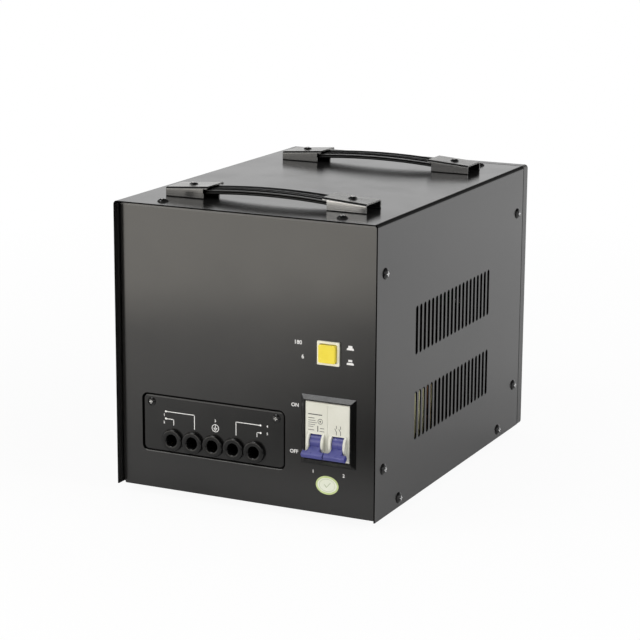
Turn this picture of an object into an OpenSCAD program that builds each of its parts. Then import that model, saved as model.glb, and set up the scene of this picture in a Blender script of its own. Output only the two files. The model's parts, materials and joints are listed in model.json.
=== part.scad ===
// Voltage stabilizer: a free-standing sheet-steel cabinet with a toroidal transformer, a relay
// board, a two-pole breaker, a delay button, a terminal box and two strap handles.
// X runs across the terminal panel, Y runs from the terminal panel to the fascia, Z is up.
// The origin is on the ground, under the middle of the overall width and depth.

/* [Cabinet] */
// Width over the cover's side walls
cabinet_w = 220; // [205:1:250]
// Height of the cover, from its lower edge to its top
cabinet_h = 224; // [215:1:260]
// Depth from the cover's front edge to the fascia's face
cabinet_d = 306; // [300:1:340]
// Thickness of the steel sheet
sheet_t = 1; // [0.8:0.1:1.2]
// Outside radius of the cover's bends
bend_r = 2.8; // [1.8:0.1:3.2]
// Outside radius of the chassis's bends
chassis_bend_r = 1.3; // [1.2:0.1:2]
// Distance of the terminal panel behind the cover's front edge
panel_recess = 6.6; // [6:0.1:9]
// Drop of the chassis floor below the cover's lower edge
pan_drop = 1.2; // [0.5:0.1:3]
// Clearance between the cover and what it closes over
cover_gap = 0.25; // [0.2:0.05:0.5]
// Width of the chassis flanges that take the cover's screws
flange_w = 19; // [18:0.5:22]

/* [Vents] */
// Slots in each group
slot_count = 20; // [10:1:20]
// Width of a slot
slot_w = 3.8; // [3:0.1:4.5]
// Height of a slot, over its round ends
slot_h = 37; // [25:1:42]
// Distance from slot to slot
slot_pitch = 7.7; // [6.5:0.1:7.8]
// Distance of the first slot's middle behind the cover's front edge
vent_start = 74; // [60:1:80]
// Height of the lower group's middle above the cover's lower edge
vent_low_z = 64.3; // [60:0.5:70]
// Height of the upper group's middle above the cover's lower edge
vent_high_z = 131.2; // [115:0.5:140]

/* [Cover screws] */
// Radius of a cover screw's head
screw_head_r = 4.3; // [3.5:0.1:4.6]
// Height of a cover screw's head
screw_head_h = 2.3; // [1.6:0.1:2.8]
// Radius of a cover screw's shank
screw_r = 1.9; // [1.5:0.05:2]
// Length of a cover screw's shank
screw_len = 8; // [6:0.5:10]
// Distance of the front screws behind the terminal panel's face
screw_front = 7.9; // [7:0.1:9]
// Distance of the rear screws ahead of the fascia
screw_rear = 13; // [10:0.5:14]
// Distance of the top screws from the middle of the width
screw_top_x = 75; // [65:1:85]
// Distance of the side walls' upper screws below the cover's top
screw_high_drop = 38; // [30:1:50]
// Height of the side walls' lower screws above the cover's lower edge
screw_mid_z = 38; // [33:1:40]
// Height of the bottom row of screws above the cover's lower edge
screw_low_z = 7.4; // [6.5:0.1:9]
// Distance of the bottom row's front screws behind the cover's front edge
screw_low_front = 44; // [35:1:50]
// Distance of the bottom row's rear screws ahead of the fascia's face
screw_low_rear = 56; // [45:1:65]

/* [Feet] */
// Height of a rubber foot
foot_h = 6; // [5.8:0.1:8]
// Radius of a foot where it meets the ground
foot_r = 9; // [8:0.5:10]
// Radius of a foot where it meets the floor sheet
foot_top_r = 10.5; // [9.5:0.5:12]
// Distance of a foot's middle from the cover's side wall
foot_inset_x = 26; // [22:1:30]
// Distance of a foot's middle from the front and rear edges
foot_inset_y = 44; // [40:1:50]

/* [Terminal lid] */
// Width of the lid, as a share of the cabinet's width
lid_w_share = 0.5473; // [0.53:0.0001:0.56]
// Height of the lid
lid_h = 43.4; // [43:0.2:46]
// Thickness of the lid
lid_t = 1.6; // [1.2:0.1:2]
// Corner radius of the lid
lid_r = 3.5; // [2.5:0.5:5]
// Gap between the lid and the panel's cut-out
lid_gap = 1.1; // [0.4:0.1:1.2]
// Distance of the lid's middle left of the cabinet's middle, as a share of its width
lid_x_share = 0.1323; // [0.12:0.0001:0.15]
// Height of the lid's middle above the cover's lower edge
lid_z = 51.4; // [48:0.2:55]
// Distance of a lid screw from the lid's side edge
lid_screw_x = 6.4; // [6:0.1:7]
// Distance of a lid screw from the lid's upper edge
lid_screw_z = 5.4; // [5.2:0.1:6]

/* [Cable grommets] */
// Number of cable entries
entry_count = 5; // [3:1:5]
// Distance from cable entry to cable entry
entry_pitch = 17.75; // [17.7:0.05:18]
// Radius of the hole in a grommet
entry_r = 4.5; // [3.5:0.1:5]
// Outer radius of a grommet's front lip
grommet_r = 8.75; // [8.3:0.05:8.8]
// Depth of the grommets' middles below the lid's middle
entry_drop = 12.2; // [12:0.1:12.8]

/* [Breaker] */
// Width of the breaker window
window_w = 37; // [36.6:0.1:38]
// Height of the breaker window
window_h = 45.4; // [45:0.1:46.5]
// Width of the bezel's sloping border
bezel_border = 4.2; // [3.5:0.1:5]
// Distance that the bezel stands out from the panel
bezel_proud = 2.8; // [2:0.1:3.4]
// Distance of the breaker's middle right of the cabinet's middle, as a share of its width
breaker_x_share = 0.3128; // [0.3:0.0001:0.33]
// Height of the window's middle above the cover's lower edge
breaker_z = 63.6; // [60:0.2:66]
// Distance from pole to pole
pole_pitch = 18.2; // [18:0.05:18.2]
// Distance that the breaker's face stands out from the panel
face_proud = 2.2; // [1.6:0.1:2.6]
// Depth of the lever pivots below the window's middle
pivot_drop = 9.5; // [8.8:0.1:10]
// Depth of the lever pivots behind the breaker's face
pivot_depth = 6; // [5.6:0.1:6.4]
// Radius of the barrels that carry the levers
barrel_r = 9.7; // [9.4:0.1:9.9]
// Thickness of a barrel's cheek on each side of its lever
cheek_t = 1.9; // [1.5:0.1:2.4]
// Distance from the pivot to a lever's tip
lever_reach_r = 16.6; // [15.5:0.1:17.5]
// Width of a lever's neck
lever_neck_w = 9.3; // [8.5:0.1:10]
// Width of a lever's crossbar
lever_bar_w = 17.4; // [15:0.1:17.5]
// Thickness of a lever
lever_t = 4.2; // [3.5:0.1:4.4]
// Angle of a lever above and below level at its two stops
lever_angle = 32; // [30:1:34]

/* [Delay button] */
// Width of the button's bezel
button_frame_w = 18; // [17.8:0.2:20]
// Width of the button's cap
button_cap_w = 13.6; // [13:0.2:14.4]
// Distance that the bezel stands out from the panel
button_frame_proud = 1.8; // [1.2:0.1:2.5]
// Distance that the cap stands out from its bezel
button_cap_proud = 2.6; // [2.5:0.1:3.4]
// Travel of the cap from long to short delay
button_travel = 2.2; // [1.6:0.1:2.4]
// Distance of the button's middle right of the cabinet's middle, as a share of its width
button_x_share = 0.3125; // [0.29:0.0005:0.32]
// Height of the button's middle above the cover's lower edge
button_z = 123.6; // [118:0.2:128]

/* [Handles] */
// Length of a handle over its end caps
handle_len = 168.6; // [160:0.2:180]
// Length of an end cap's side walls
cap_len = 32.2; // [30:0.1:35]
// Length that a cap's top reaches past its side walls
cap_lip = 3.5; // [2:0.5:5]
// Width of an end cap
cap_w = 27; // [24:0.5:28]
// Height of an end cap at its outer end
cap_low_h = 7.1; // [6.8:0.1:7.5]
// Height of an end cap at its inner end
cap_high_h = 9.5; // [9.3:0.1:10]
// Width of the strap
strap_w = 18.5; // [16:0.5:19]
// Thickness of the strap
strap_t = 4.7; // [4.4:0.1:4.8]
// Gap between the middle of the strap and the cabinet's top
strap_lift = 5; // [4.8:0.1:5.2]
// Radius of the strap's arch, to its underside
strap_arch_r = 604; // [560:1:650]
// Distance of a handle's middle from the cover's front edge, or from the fascia's seam
handle_inset = 49; // [40:1:55]
// Distance of a cap's screw from the cap's outer end
cap_screw_in = 17; // [15:0.5:18]

/* [Transformer] */
// Outer radius of the wound transformer, as a share of the cabinet's depth
toroid_r_share = 0.2614; // [0.23:0.0001:0.265]
// Radius of the hole through the winding, as a share of its outer radius
toroid_hole_share = 0.3; // [0.28:0.01:0.34]
// Height of the wound transformer
toroid_h = 78; // [65:1:80]
// Thickness of the winding around the core, as a share of the outer radius
winding_t_share = 0.1625; // [0.13:0.0005:0.18]
// Radius of the winding's rounded edges
winding_round = 9; // [6:0.5:9]
// Distance of the transformer's middle behind the cover's front edge, as a share of the depth
toroid_y_share = 0.5327; // [0.525:0.0001:0.545]
// Thickness of each insulating pad
pad_t = 2; // [1.5:0.1:3]
// Radius of the transformer's bolt
bolt_r = 4; // [3:0.1:4]

/* [Relay board] */
// Width of the board, as a share of the cabinet's width
board_w_share = 0.682; // [0.66:0.001:0.7]
// Height of the board
board_h = 86; // [80:1:90]
// Thickness of the board
board_t = 1.6; // [1.2:0.1:2]
// Distance of the board's upper edge below the chassis's top flanges
board_headroom = 28.8; // [20:0.2:30]
// Length of the board's standoffs
standoff_len = 8; // [6:0.5:10]
// Number of relays on the board
relay_count = 6; // [4:1:6]

/* [Fascia] */
// Depth of the fascia
fascia_d = 9; // [8.5:0.5:12]
// Thickness of the fascia's walls
fascia_wall = 2.5; // [2:0.1:3]
// Radius of the fascia's outer edges
fascia_r = 2.8; // [1.5:0.1:3.2]
// Width of the display window
display_w = 110; // [100:1:120]
// Height of the display window
display_h = 44; // [40:1:50]
// Distance of the display window's middle below the cabinet's top
display_drop = 60; // [50:1:70]
// Number of indicator lamps
lamp_count = 3; // [2:1:4]

/* [Hidden] */
// Smoothness of round shapes
$fn = 64;
// Distance that every cut runs past the face it cuts
overrun = 1;
// Clearance around a fixed piece in its seat
seat_gap = 0.1;
// Clearance around a moving piece
move_gap = 0.35;
// Clearance of a pivot pin in the lever that turns on it
pin_gap = 0.06;
// Clearance of a screw's shank in the piece that it holds by its thread
thread_gap = 0.05;
// Clearance of a screw's shank in the piece that it passes through
pass_gap = 0.3;

// Screws: width and depth of the cross in a head, as shares of its radius and height
cross_w_share = 0.22;
cross_len_share = 1.15;
cross_depth_share = 0.5;
// Radius of a head's dome as a share of the head's radius
dome_share = 1.45;

// Small screws: board, bracket and lid screws
small_head_r = 3;
small_head_h = 1.8;
small_r = 1.45;
small_nut_h = 2.4;
small_nut_r = 3.1;

// Feet
foot_recess_r = 4.8;
foot_recess_h = 2.8;
foot_screw_len = 8;

// Terminal box
box_rim = 7;
box_wall = 2;
box_depth = 26;
box_ledge_t = 2;
ledge_w = 1.5;
lid_boss_r = 5;
lid_screw_head_r = 3.4;
lid_screw_len = 12;
box_stud_inset = 3.6;
box_stud_len = 8.5;
wire_slot_w = 70;
wire_slot_h = 7;

// Grommets
grommet_lip_t = 3;
grommet_back_t = 2;
grommet_back_r = 7;
grommet_neck_r = 6.2;
grommet_edge = 1.4;

// Terminal block
block_h = 24;
block_base_t = 8;
block_barrier_t = 2;
block_barrier_reach = 6;
block_end_w = 2.2;
// Distance from clamp to clamp as a share of the lid's width
block_pitch_share = 0.1458;
clamp_w = 12;
clamp_h = 20;
clamp_t = 1.4;
clamp_screw_r = 3.2;
clamp_screw_h = 2;
clamp_screw_z = 6;

// Breaker
pole_gap = 0.06;
pole_side_groove = 0.2;
nose_gap = 0.4;
nose_depth = 23;
breaker_depth = 66;
breaker_body_h = 80;
breaker_edge = 1;
collar_wall = 0.8;
collar_depth = 5;
snap_t = 1;
snap_len = 8;
snap_reach = 0.9;
drum_gap = 1.7;
neck_side_gap = 0.35;
pivot_pin_r = 1.5;
pin_end_gap = 0.6;
bar_len = 4.6;
bar_round = 1;
flare_w = 15;
flare_inset = 0.5;
terminal_screw_r = 2.8;
terminal_well_r = 3.1;
terminal_screw_h = 3;
terminal_well_depth = 12;
terminal_z = 31;
wire_hole_r = 3.3;
wire_hole_depth = 14;
wire_hole_y = 12;

// Rail and its bracket
rail_w = 35;
rail_mouth = 27;
rail_depth = 7.5;
rail_t = 1;
rail_len = 44;
rail_notch_depth = 4.6;
rail_gap = 0.3;
rail_hook_gap = 1.6;
rail_bracket_t = 1.5;
rail_bracket_r = 2.5;
rail_bracket_rise = 20;
rail_bracket_foot = 22;

// Delay switch
switch_body_w = 15.8;
switch_body_depth = 20;
switch_hole_gap = 0.3;
cap_side_gap = 0.35;
button_frame_r = 0.6;
cap_round = 1;
cap_skirt = 6;
plunger_r = 2.4;
plunger_len = 9;
switch_pin_w = 2.8;
switch_pin_t = 0.8;
switch_pin_len = 6;
switch_pin_x = 4;

// Handles
cap_t = 1.2;
cap_bend = 1.8;
strap_bead_r = strap_t / 2;
strap_rib_r = 1.4;
strap_rib_x = 2.6;
strap_web_t = 2.8;
strap_web_lift = 0.6;
tongue_t = 2.6;
tongue_w = 15.6;
tongue_len = 21;
tongue_lift = 0.6;
tongue_slot = 8;
handle_screw_r = 1.9;
handle_screw_head_r = 3.6;
handle_screw_head_h = 1.5;
handle_nut_r = 4;
handle_nut_h = 3.2;
arch_fn = 720;

// Transformer fixings
core_gap = 0.2;
pad_margin = 8;
dish_rim_w = 16;
dish_dip = 6;
dish_t = 2;
dish_slope_w = 12;
bolt_head_r = 7.4;
bolt_head_h = 5.2;
nut_r = 7.4;
nut_h = 6.5;
bolt_end = 3;

// Relay board and its bracket
bracket_t = 1.5;
bracket_margin = 8;
bracket_foot = 14;
bracket_bend = 2.5;
bracket_back = 32;
bracket_window_w = 104;
bracket_window_h = 62;
bracket_window_z = 24;
bracket_window_r = 8;
board_hole_in = 5;
standoff_r = 3;
relay_w = 15.5;
relay_h = 19;
relay_d = 15.6;
relay_r = 1;
relay_gap = 6;
relay_drop = 20;
can_r = 8;
can_h = 25;
can_round = 1.2;
can_gap = 6;
can_drop = 14;
plug_w = 26;
plug_h = 7;
plug_d = 9;
plug_r = 0.8;
plug_drop = 7;
plug_edge_gap = 11;

// Fascia and display
seam_gap = 0.4;
pane_t = 2;
pane_rim = 4;
pane_r = 3;
digit_w = 32;
digit_h = 19;
digit_gap = 4;
digit_r = 0.8;
lamp_r = 2.5;
lamp_gap = 0.15;
lamp_pitch = 28;
lamp_drop = 29;
lamp_flush = 0.3;
display_board_margin = 14;
wall_hole_margin = 4;
display_spacer_len = 2.4;
display_spacer_r = 3;
display_screw_len = 6;
fascia_boss_r = 4.5;
fascia_boss_in = 13;
fascia_screw_len = 8;

// Derived places
lever_tip = (lever_reach_r - bar_round) * cos(lever_angle)
    + (lever_t / 2 - bar_round) * sin(lever_angle) + bar_round;
corner_cut = chassis_bend_r + sheet_t / 2;
lever_out = max(0, lever_tip - pivot_depth + face_proud - panel_recess);
front_y = -(cabinet_d - lever_out) / 2;
back_y = front_y + cabinet_d;
panel_y = front_y + panel_recess;
panel_in_y = panel_y + sheet_t;
wall_y = back_y - fascia_d;
cover_z = foot_h + pan_drop;
top_z = cover_z + cabinet_h;
floor_z = foot_h + sheet_t;
inner_w = cabinet_w - 2 * sheet_t - 2 * cover_gap;
inner_top = top_z - sheet_t - cover_gap;
cover_len = wall_y - seam_gap - front_y;
lid_w = lid_w_share * cabinet_w;
lid_x = lid_x_share * cabinet_w;
lid_mid_z = cover_z + lid_z;
lid_seat_y = panel_in_y + lid_t;
box_back_y = lid_seat_y + box_ledge_t + box_depth;
box_w = lid_w + 2 * box_rim;
box_h = lid_h + 2 * box_rim;
cavity_w = lid_w - 2 * ledge_w;
block_pitch = block_pitch_share * lid_w;
cavity_h = lid_h - 2 * ledge_w;
entry_z = lid_mid_z - entry_drop;
block_mid_z = lid_mid_z + cavity_h / 2 - block_h / 2 - block_end_w;
breaker_x = breaker_x_share * cabinet_w;
breaker_mid_z = cover_z + breaker_z;
face_y = panel_y - face_proud;
pivot_y = face_y + pivot_depth;
pivot_z = breaker_mid_z - pivot_drop;
breaker_back_y = face_y + breaker_depth;
pole_w = pole_pitch - pole_gap;
rail_y = breaker_back_y - rail_notch_depth + rail_gap;
rail_back_y = rail_y + rail_depth;
button_x = button_x_share * cabinet_w;
button_mid_z = cover_z + button_z;
toroid_r = toroid_r_share * cabinet_d;
toroid_hole_r = toroid_hole_share * toroid_r;
winding_t = winding_t_share * toroid_r;
toroid_mid_y = front_y + toroid_y_share * cabinet_d;
toroid_z = floor_z + pad_t;
toroid_top = toroid_z + toroid_h;
core_r = toroid_r - winding_t;
core_hole_r = toroid_hole_r + winding_t;
core_h = toroid_h - 2 * winding_t;
dish_r = toroid_hole_r + dish_rim_w;
dish_bottom = toroid_top + pad_t - dish_dip;
web_y = wall_y - bracket_back;
board_y = web_y - standoff_len - board_t;
board_w = board_w_share * cabinet_w;
board_mid_z = inner_top - board_headroom - board_h / 2;
display_mid_z = top_z - display_drop;
pane_y = back_y - fascia_wall - pane_t;
display_board_y = wall_y - sheet_t - display_spacer_len - board_t;
display_board_w = display_w + 2 * display_board_margin;
lamp_z = display_mid_z - lamp_drop;
display_board_h = display_h / 2 + lamp_drop + 2 * display_board_margin;
display_board_z = display_mid_z + display_h / 2 + display_board_margin - display_board_h / 2;
arch_mid_z = top_z + strap_lift;
arch_half = handle_len / 2 - cap_len;
arch_angle = asin(arch_half / strap_arch_r);
cap_tilt = atan((cap_high_h - cap_low_h) / cap_len);
cap_screw_z = cap_low_h + cap_screw_in * tan(cap_tilt);

// A flat shape carried along Y from y0: its first axis is X and its second is Z.
module along_y(y0, len) {
    translate([0, y0 + len, 0])
        rotate([90, 0, 0])
            linear_extrude(len)
                children();
}

// A flat shape carried along X from x0: its first axis is Y and its second is Z.
module along_x(x0, len) {
    translate([x0, 0, 0])
        rotate([90, 0, 90])
            linear_extrude(len)
                children();
}

// A rectangle with round corners, centred.
module round_rect(w, h, r) {
    square([w - 2 * r, h], center = true);
    square([w, h - 2 * r], center = true);
    for (x = [-1, 1], y = [-1, 1])
        translate([x * (w / 2 - r), y * (h / 2 - r)])
            circle(r);
}

// An upright slot with round ends, centred.
module slot(w, h) {
    square([w, h - w], center = true);
    for (y = [-1, 1])
        translate([0, y * (h - w) / 2])
            circle(w / 2);
}

// A filled trough with two round lower corners, standing on the origin.
module trough(w, h, r) {
    translate([-w / 2, r])
        square([w, h - r]);
    translate([-w / 2 + r, 0])
        square([w - 2 * r, h]);
    for (x = [-1, 1])
        translate([x * (w / 2 - r), r])
            circle(r);
}

// The section of a sheet bent into a channel that opens upwards.
module channel(w, h, t, r) {
    difference() {
        trough(w, h, r);
        translate([0, t])
            trough(w - 2 * t, h, r - t);
    }
}

// Section of a sheet bent once: a foot along the first axis and a wall along the second.
module angle_section(foot, wall, t, r) {
    difference() {
        union() {
            translate([r, 0])
                square([foot - r, wall]);
            translate([0, r])
                square([foot, wall - r]);
            translate([r, r])
                circle(r);
        }
        translate([r, t])
            square([foot, wall]);
        translate([t, r])
            square([foot, wall]);
        translate([r, r])
            circle(r - t);
    }
}

// A domed screw, head upwards, seated at the origin, with a cross in its head.
module domed_screw(head_r, head_h, shank_r, shank_len) {
    dome_r = dome_share * head_r;
    difference() {
        intersection() {
            cylinder(r = head_r, h = head_h);
            translate([0, 0, head_h - dome_r])
                sphere(dome_r);
        }
        for (turn = [0, 90])
            rotate([0, 0, turn])
                translate([0, 0, head_h])
                    cube([cross_len_share * head_r, cross_w_share * head_r,
                        2 * cross_depth_share * head_h], center = true);
    }
    translate([0, 0, -shank_len])
        cylinder(r = shank_r, h = shank_len);
}

// The places of the cover's screws: a point, then the turn that points the head outwards.
function top_screw_spots() = [
    for (x = [-1, 1], y = [panel_y + screw_front, wall_y - screw_rear])
        [[x * screw_top_x, y, top_z], [0, 0, 0]]
];
function side_screw_spots() = [
    for (x = [-1, 1], y = [panel_y + screw_front, wall_y - screw_rear],
        z = [cabinet_h - screw_high_drop, screw_mid_z])
        [[x * cabinet_w / 2, y, cover_z + z], [0, x * 90, 0]]
];
function low_screw_spots() = [
    for (x = [-1, 1], y = [front_y + screw_low_front, back_y - screw_low_rear])
        [[x * cabinet_w / 2, y, cover_z + screw_low_z], [0, x * 90, 0]]
];
cover_screw_spots = concat(top_screw_spots(), side_screw_spots(), low_screw_spots());

// A cut along each cover screw, from outside to behind its flange.
module cover_screw_cuts(r) {
    for (spot = cover_screw_spots)
        translate(spot[0])
            rotate(spot[1])
                translate([0, 0, -screw_len])
                    cylinder(r = r, h = screw_len + overrun);
}

// The places of the feet.
foot_spots = [
    for (x = [-1, 1], y = [front_y + foot_inset_y, back_y - foot_inset_y])
        [x * (cabinet_w / 2 - foot_inset_x), y]
];

// The places of the terminal box's studs, from the lid's middle.
box_stud_spots = [
    for (x = [-1, 1], z = [-1, 1])
        [x * (box_w / 2 - box_stud_inset), z * (box_h / 2 - box_stud_inset)]
];

// The places of the lid's two screws, from the lid's middle.
lid_screw_spots = [
    for (x = [-1, 1])
        [x * (lid_w / 2 - lid_screw_x), lid_h / 2 - lid_screw_z]
];

// The places of the cable entries along X, from the lid's middle.
entry_ranks = [for (i = [0 : entry_count - 1]) i - (entry_count - 1) / 2];
entry_spots = entry_ranks * entry_pitch;
clamp_spots = entry_ranks * block_pitch;

// The places of the breaker's poles along X.
pole_spots = [for (side = [-1, 1]) breaker_x + side * pole_pitch / 2];

// The places of the fascia's screws, from the middle of the far end wall.
fascia_screw_spots = [
    for (x = [-1, 1], z = [foot_h + fascia_boss_in, top_z - fascia_boss_in])
        [x * (cabinet_w / 2 - fascia_boss_in), z]
];

// The places of the two handles along Y.
front_handle_y = front_y + handle_inset;
rear_handle_y = wall_y - handle_inset;

// The places of the handle screws, as X and Y.
handle_screw_spots = [
    for (x = [-1, 1], y = [front_handle_y, rear_handle_y])
        [x * (handle_len / 2 - cap_screw_in), y]
];

// The places of a board's holes, from its middle.
function board_hole_spots(w, h) = [
    for (x = [-1, 1], z = [-1, 1])
        [x * (w / 2 - board_hole_in), z * (h / 2 - board_hole_in)]
];

// The places of the two brackets' screws in the floor, as X and Y.
rail_foot_spots = [
    for (x = [-1, 1])
        [breaker_x + x * rail_len / 4, rail_back_y + rail_bracket_t - rail_bracket_foot / 2]
];
board_foot_spots = [
    for (x = [-1, 1])
        [x * board_w / 3, web_y + bracket_foot / 2 + bracket_t / 2]
];

// One end of the chassis: a panel with a flange along each side.
module end_panel(y, turn) {
    translate([0, y, foot_h + corner_cut])
        rotate([0, 0, turn])
            linear_extrude(inner_top - foot_h - 2 * corner_cut)
                channel(inner_w, flange_w, sheet_t, chassis_bend_r);
}

// The top flange of one end panel, with the panel's upper strip.
module top_flange(y, direction) {
    translate([0, y, inner_top])
        mirror([0, 0, 1])
            mirror([0, direction < 0 ? 1 : 0, 0])
                along_x(-inner_w / 2 + corner_cut, inner_w - 2 * corner_cut)
                    angle_section(flange_w, flange_w, sheet_t, chassis_bend_r);
}

// Floor, terminal panel and far end wall, bent from one sheet, with flanges.
module chassis() {
    length = wall_y - panel_y;
    color("dimgray")
        difference() {
            union() {
                translate([0, (panel_y + wall_y) / 2, foot_h])
                    along_x(-inner_w / 2 + corner_cut, inner_w - 2 * corner_cut)
                        channel(length, inner_top - foot_h - corner_cut, sheet_t, chassis_bend_r);
                translate([0, 0, foot_h])
                    along_y(panel_y + flange_w + corner_cut, length - 2 * flange_w - 2 * corner_cut)
                        channel(inner_w, flange_w, sheet_t, chassis_bend_r);
                end_panel(panel_y, 0);
                end_panel(wall_y, 180);
                top_flange(panel_y, 1);
                top_flange(wall_y, -1);
                for (spot = box_stud_spots)
                    translate([spot[0] - lid_x, panel_in_y - sheet_t / 2, lid_mid_z + spot[1]])
                        rotate([-90, 0, 0])
                            cylinder(r = small_r, h = box_stud_len + sheet_t / 2);
            }
            cover_screw_cuts(screw_r + thread_gap);
            along_y(panel_y - overrun, sheet_t + 2 * overrun) {
                translate([-lid_x, lid_mid_z])
                    round_rect(lid_w + 2 * lid_gap, lid_h + 2 * lid_gap, lid_r + lid_gap);
                translate([breaker_x, breaker_mid_z])
                    square([window_w + 2 * (collar_wall + seat_gap),
                        window_h + 2 * (collar_wall + seat_gap)], center = true);
                translate([button_x, button_mid_z])
                    square(switch_body_w + 2 * switch_hole_gap, center = true);
            }
            along_y(wall_y - sheet_t - overrun, sheet_t + 2 * overrun) {
                translate([0, display_board_z])
                    square([display_w + 2 * wall_hole_margin,
                        display_board_h - 2 * display_board_margin + 2 * wall_hole_margin],
                        center = true);
                for (spot = fascia_screw_spots)
                    translate(spot)
                        circle(small_r + pass_gap);
                for (spot = board_hole_spots(display_board_w, display_board_h))
                    translate([spot[0], display_board_z + spot[1]])
                        circle(small_r + thread_gap);
            }
            translate([0, 0, foot_h - overrun])
                linear_extrude(sheet_t + 2 * overrun) {
                    for (spot = foot_spots)
                        translate(spot)
                            circle(small_r + thread_gap);
                    for (spot = concat(rail_foot_spots, board_foot_spots))
                        translate(spot)
                            circle(small_r + thread_gap);
                    translate([0, toroid_mid_y])
                        circle(bolt_r + pass_gap);
                }
        }
}

// Both groups of slots of one side wall, along Y and Z.
module vent_slots() {
    for (z = [vent_low_z, vent_high_z], i = [0 : slot_count - 1])
        translate([front_y + vent_start + i * slot_pitch, cover_z + z])
            slot(slot_w, slot_h);
}

// Top and two side walls, bent from one sheet.
module cover() {
    color("#1d1d1f")
        difference() {
            translate([0, 0, top_z])
                mirror([0, 0, 1])
                    along_y(front_y, cover_len)
                        channel(cabinet_w, cabinet_h, sheet_t, bend_r);
            along_x(-cabinet_w / 2 - overrun, sheet_t + 2 * overrun)
                vent_slots();
            along_x(cabinet_w / 2 - sheet_t - overrun, sheet_t + 2 * overrun)
                vent_slots();
            cover_screw_cuts(screw_r + pass_gap);
            for (spot = handle_screw_spots)
                translate([spot[0], spot[1], top_z - sheet_t - overrun])
                    cylinder(r = handle_screw_r + pass_gap, h = sheet_t + 2 * overrun);
        }
}

module cover_screws() {
    color("#151515")
        for (spot = cover_screw_spots)
            translate(spot[0])
                rotate(spot[1])
                    domed_screw(screw_head_r, screw_head_h, screw_r, screw_len);
}

// Four rubber feet with a recess for the screw.
module feet() {
    color("#101010")
        for (spot = foot_spots)
            translate(spot)
                difference() {
                    cylinder(r1 = foot_r, r2 = foot_top_r, h = foot_h);
                    translate([0, 0, -overrun])
                        cylinder(r = foot_recess_r, h = foot_recess_h + overrun);
                    cylinder(r = small_r + pass_gap, h = foot_h + overrun);
                }
}

module foot_screws() {
    color("silver")
        for (spot = foot_spots)
            translate([spot[0], spot[1], foot_recess_h])
                mirror([0, 0, 1])
                    domed_screw(small_head_r, small_head_h, small_r, foot_screw_len);
}

// The far end's moulded frame, hollow behind its face.
module fascia() {
    height = top_z - foot_h;
    mid_z = (top_z + foot_h) / 2;
    color("#202022")
        difference() {
            union() {
                difference() {
                    along_y(wall_y, fascia_d)
                        translate([0, mid_z])
                            round_rect(cabinet_w, height, fascia_r);
                    along_y(wall_y - overrun, fascia_d - fascia_wall + overrun)
                        translate([0, mid_z])
                            round_rect(cabinet_w - 2 * fascia_wall, height - 2 * fascia_wall,
                                fascia_r);
                }
                for (spot = fascia_screw_spots)
                    translate([spot[0], wall_y, spot[1]])
                        rotate([-90, 0, 0])
                            cylinder(r = fascia_boss_r, h = fascia_d - fascia_wall / 2);
            }
            along_y(wall_y, fascia_d + overrun) {
                translate([0, display_mid_z])
                    round_rect(display_w, display_h, pane_r);
                for (i = [0 : lamp_count - 1])
                    translate([(i - (lamp_count - 1) / 2) * lamp_pitch, lamp_z])
                        circle(lamp_r + lamp_gap);
            }
            along_y(wall_y - overrun, fascia_d - fascia_wall + overrun)
                for (spot = fascia_screw_spots)
                    translate(spot)
                        circle(small_r + thread_gap);
        }
}

module fascia_screws() {
    color("silver")
        for (spot = fascia_screw_spots)
            translate([spot[0], wall_y - sheet_t, spot[1]])
                rotate([90, 0, 0])
                    domed_screw(small_head_r, small_head_h, small_r,
                        min(fascia_screw_len, fascia_d - fascia_wall));
}

// Smoked pane behind the opening in the fascia.
module display_window() {
    color([0.1, 0.1, 0.12, 0.7])
        along_y(pane_y, pane_t)
            translate([0, display_mid_z])
                round_rect(display_w + 2 * pane_rim, display_h + 2 * pane_rim, pane_r);
}

module display_board() {
    color("darkgreen")
        along_y(display_board_y, board_t)
            translate([0, display_board_z])
                difference() {
                    square([display_board_w, display_board_h], center = true);
                    for (spot = board_hole_spots(display_board_w, display_board_h))
                        translate(spot)
                            circle(small_r + pass_gap);
                }
}

// Three digit modules, for input, output and delay.
module display_digits() {
    color("#303030")
        for (i = [-1, 0, 1])
            along_y(display_board_y + board_t, pane_y - display_board_y - board_t - seat_gap)
                translate([i * (digit_w + digit_gap), display_mid_z])
                    round_rect(digit_w, digit_h, digit_r);
}

module indicator_lamps() {
    color("red")
        for (i = [0 : lamp_count - 1])
            translate([(i - (lamp_count - 1) / 2) * lamp_pitch, display_board_y + board_t, lamp_z])
                rotate([-90, 0, 0]) {
                    length = back_y - lamp_flush - lamp_r - display_board_y - board_t;
                    cylinder(r = lamp_r, h = length);
                    translate([0, 0, length])
                        sphere(lamp_r);
                }
}

module display_spacers() {
    color("ivory")
        for (spot = board_hole_spots(display_board_w, display_board_h))
            translate([spot[0], display_board_y + board_t, display_board_z + spot[1]])
                rotate([-90, 0, 0])
                    difference() {
                        cylinder(r = display_spacer_r, h = display_spacer_len);
                        translate([0, 0, -overrun])
                            cylinder(r = small_r + pass_gap, h = display_spacer_len + 2 * overrun);
                    }
}

module display_screws() {
    color("silver")
        for (spot = board_hole_spots(display_board_w, display_board_h))
            translate([spot[0], display_board_y, display_board_z + spot[1]])
                rotate([90, 0, 0])
                    domed_screw(small_head_r, small_head_h, small_r, display_screw_len);
}

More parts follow.
